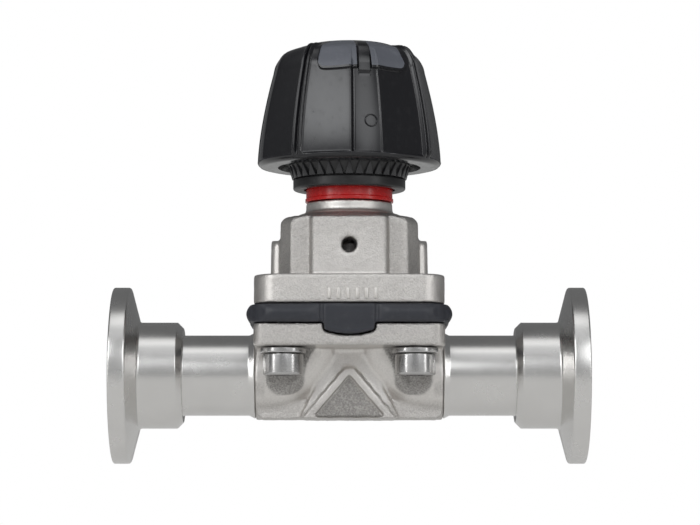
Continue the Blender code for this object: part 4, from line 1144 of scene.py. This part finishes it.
def makeStudio():
    size = studio
    world = bpy.data.worlds.new("studioSky")
    bpy.context.scene.world = world
    world.use_nodes = True
    graph = Graph(world.node_tree)
    way = graph.node("ShaderNodeTexCoord", {}, {}, "Generated")
    glow = size["base"]
    for azimuth, elevation, inner, outer, strength in softLights:
        turn, rise = math.radians(azimuth), math.radians(elevation)
        toward = (math.cos(rise) * math.sin(turn), -math.cos(rise) * math.cos(turn), math.sin(rise))
        sockets = {0: way, 1: toward}
        share = graph.node("ShaderNodeVectorMath", {"operation": "DOT_PRODUCT"}, sockets, "Value")
        near, far = math.cos(math.radians(inner)), math.cos(math.radians(outer))
        glow = spread(graph, share, far, near, 0.0, strength) + glow
    height = graph.node("ShaderNodeSeparateXYZ", {}, {"Vector": way}, "Z")
    warm = spread(graph, height, -0.5, 0.1, 1.0, 0.0)
    tint = mixColours(graph, warm, (0.97, 0.985, 1.0), (1.0, 0.965, 0.93))
    around = graph.node("ShaderNodeBackground", {}, {"Color": tint, "Strength": glow})
    white = graph.node("ShaderNodeBackground", {}, {"Color": (1.0, 1.0, 1.0), "Strength": 1.0})
    seen = graph.node("ShaderNodeLightPath", {}, {}, "Is Camera Ray")
    mixed = graph.node("ShaderNodeMixShader", {}, {0: seen, 1: around, 2: white})
    graph.node("ShaderNodeOutputWorld", {}, {"Surface": mixed})
    half, level = size["floorHalf"] * mm, size["floor"] * mm
    mesh = bpy.data.meshes.new("floor")
    corners = [(-half, -half, level), (half, -half, level), (half, half, level), (-half, half, level)]
    mesh.from_pydata(corners, [], [(0, 1, 2, 3)])
    floor = newObject("floor", mesh)
    material, graph, place = newLook("paleFloor")
    tone = mixColours(graph, grain(graph, place, 90.0), (0.80, 0.80, 0.79), (0.83, 0.83, 0.82))
    glow = {"Emission Color": (1.0, 0.985, 0.965), "Emission Strength": size["floorGlow"]}
    finishLook(graph, {"Base Color": tone, "Roughness": 0.9, **glow})
    mesh.materials.append(material)


def addLamp(name, place, target, width, height, power):
    data = bpy.data.lights.new(name, "AREA")
    data.shape = "RECTANGLE"
    data.size, data.size_y = width, height
    data.energy = power
    lamp = newObject(name, data)
    lamp.location = Vector(place)
    lamp.rotation_euler = (Vector(target) - Vector(place)).to_track_quat("-Z", "Y").to_euler()


makeStudio()
# name, place and target in metres, width, height, watts
addLamp("topLamp", (0.0, -0.25, 0.95), (0, 0, 0.03), 0.7, 0.35, 0.45)
addLamp("leftLamp", (-0.75, -0.55, 0.30), (0, 0, 0.06), 0.08, 0.7, 1.2)
addLamp("rightLamp", (0.75, -0.50, 0.30), (0, 0, 0.06), 0.08, 0.7, 0.9)

cameraData = bpy.data.cameras.new("camera")
cameraData.lens = studio["lens"]
cameraData.sensor_width = 36
cameraData.clip_end = 20
camera = newObject("camera", cameraData)
camera.location = Vector(studio["cameraPlace"]) * mm
aim = (Vector(studio["cameraTarget"]) - Vector(studio["cameraPlace"])) * mm
camera.rotation_euler = aim.to_track_quat("-Z", "Y").to_euler()
scene = bpy.context.scene
scene.camera = camera
scene.view_settings.view_transform = "Standard"
print("studio made")
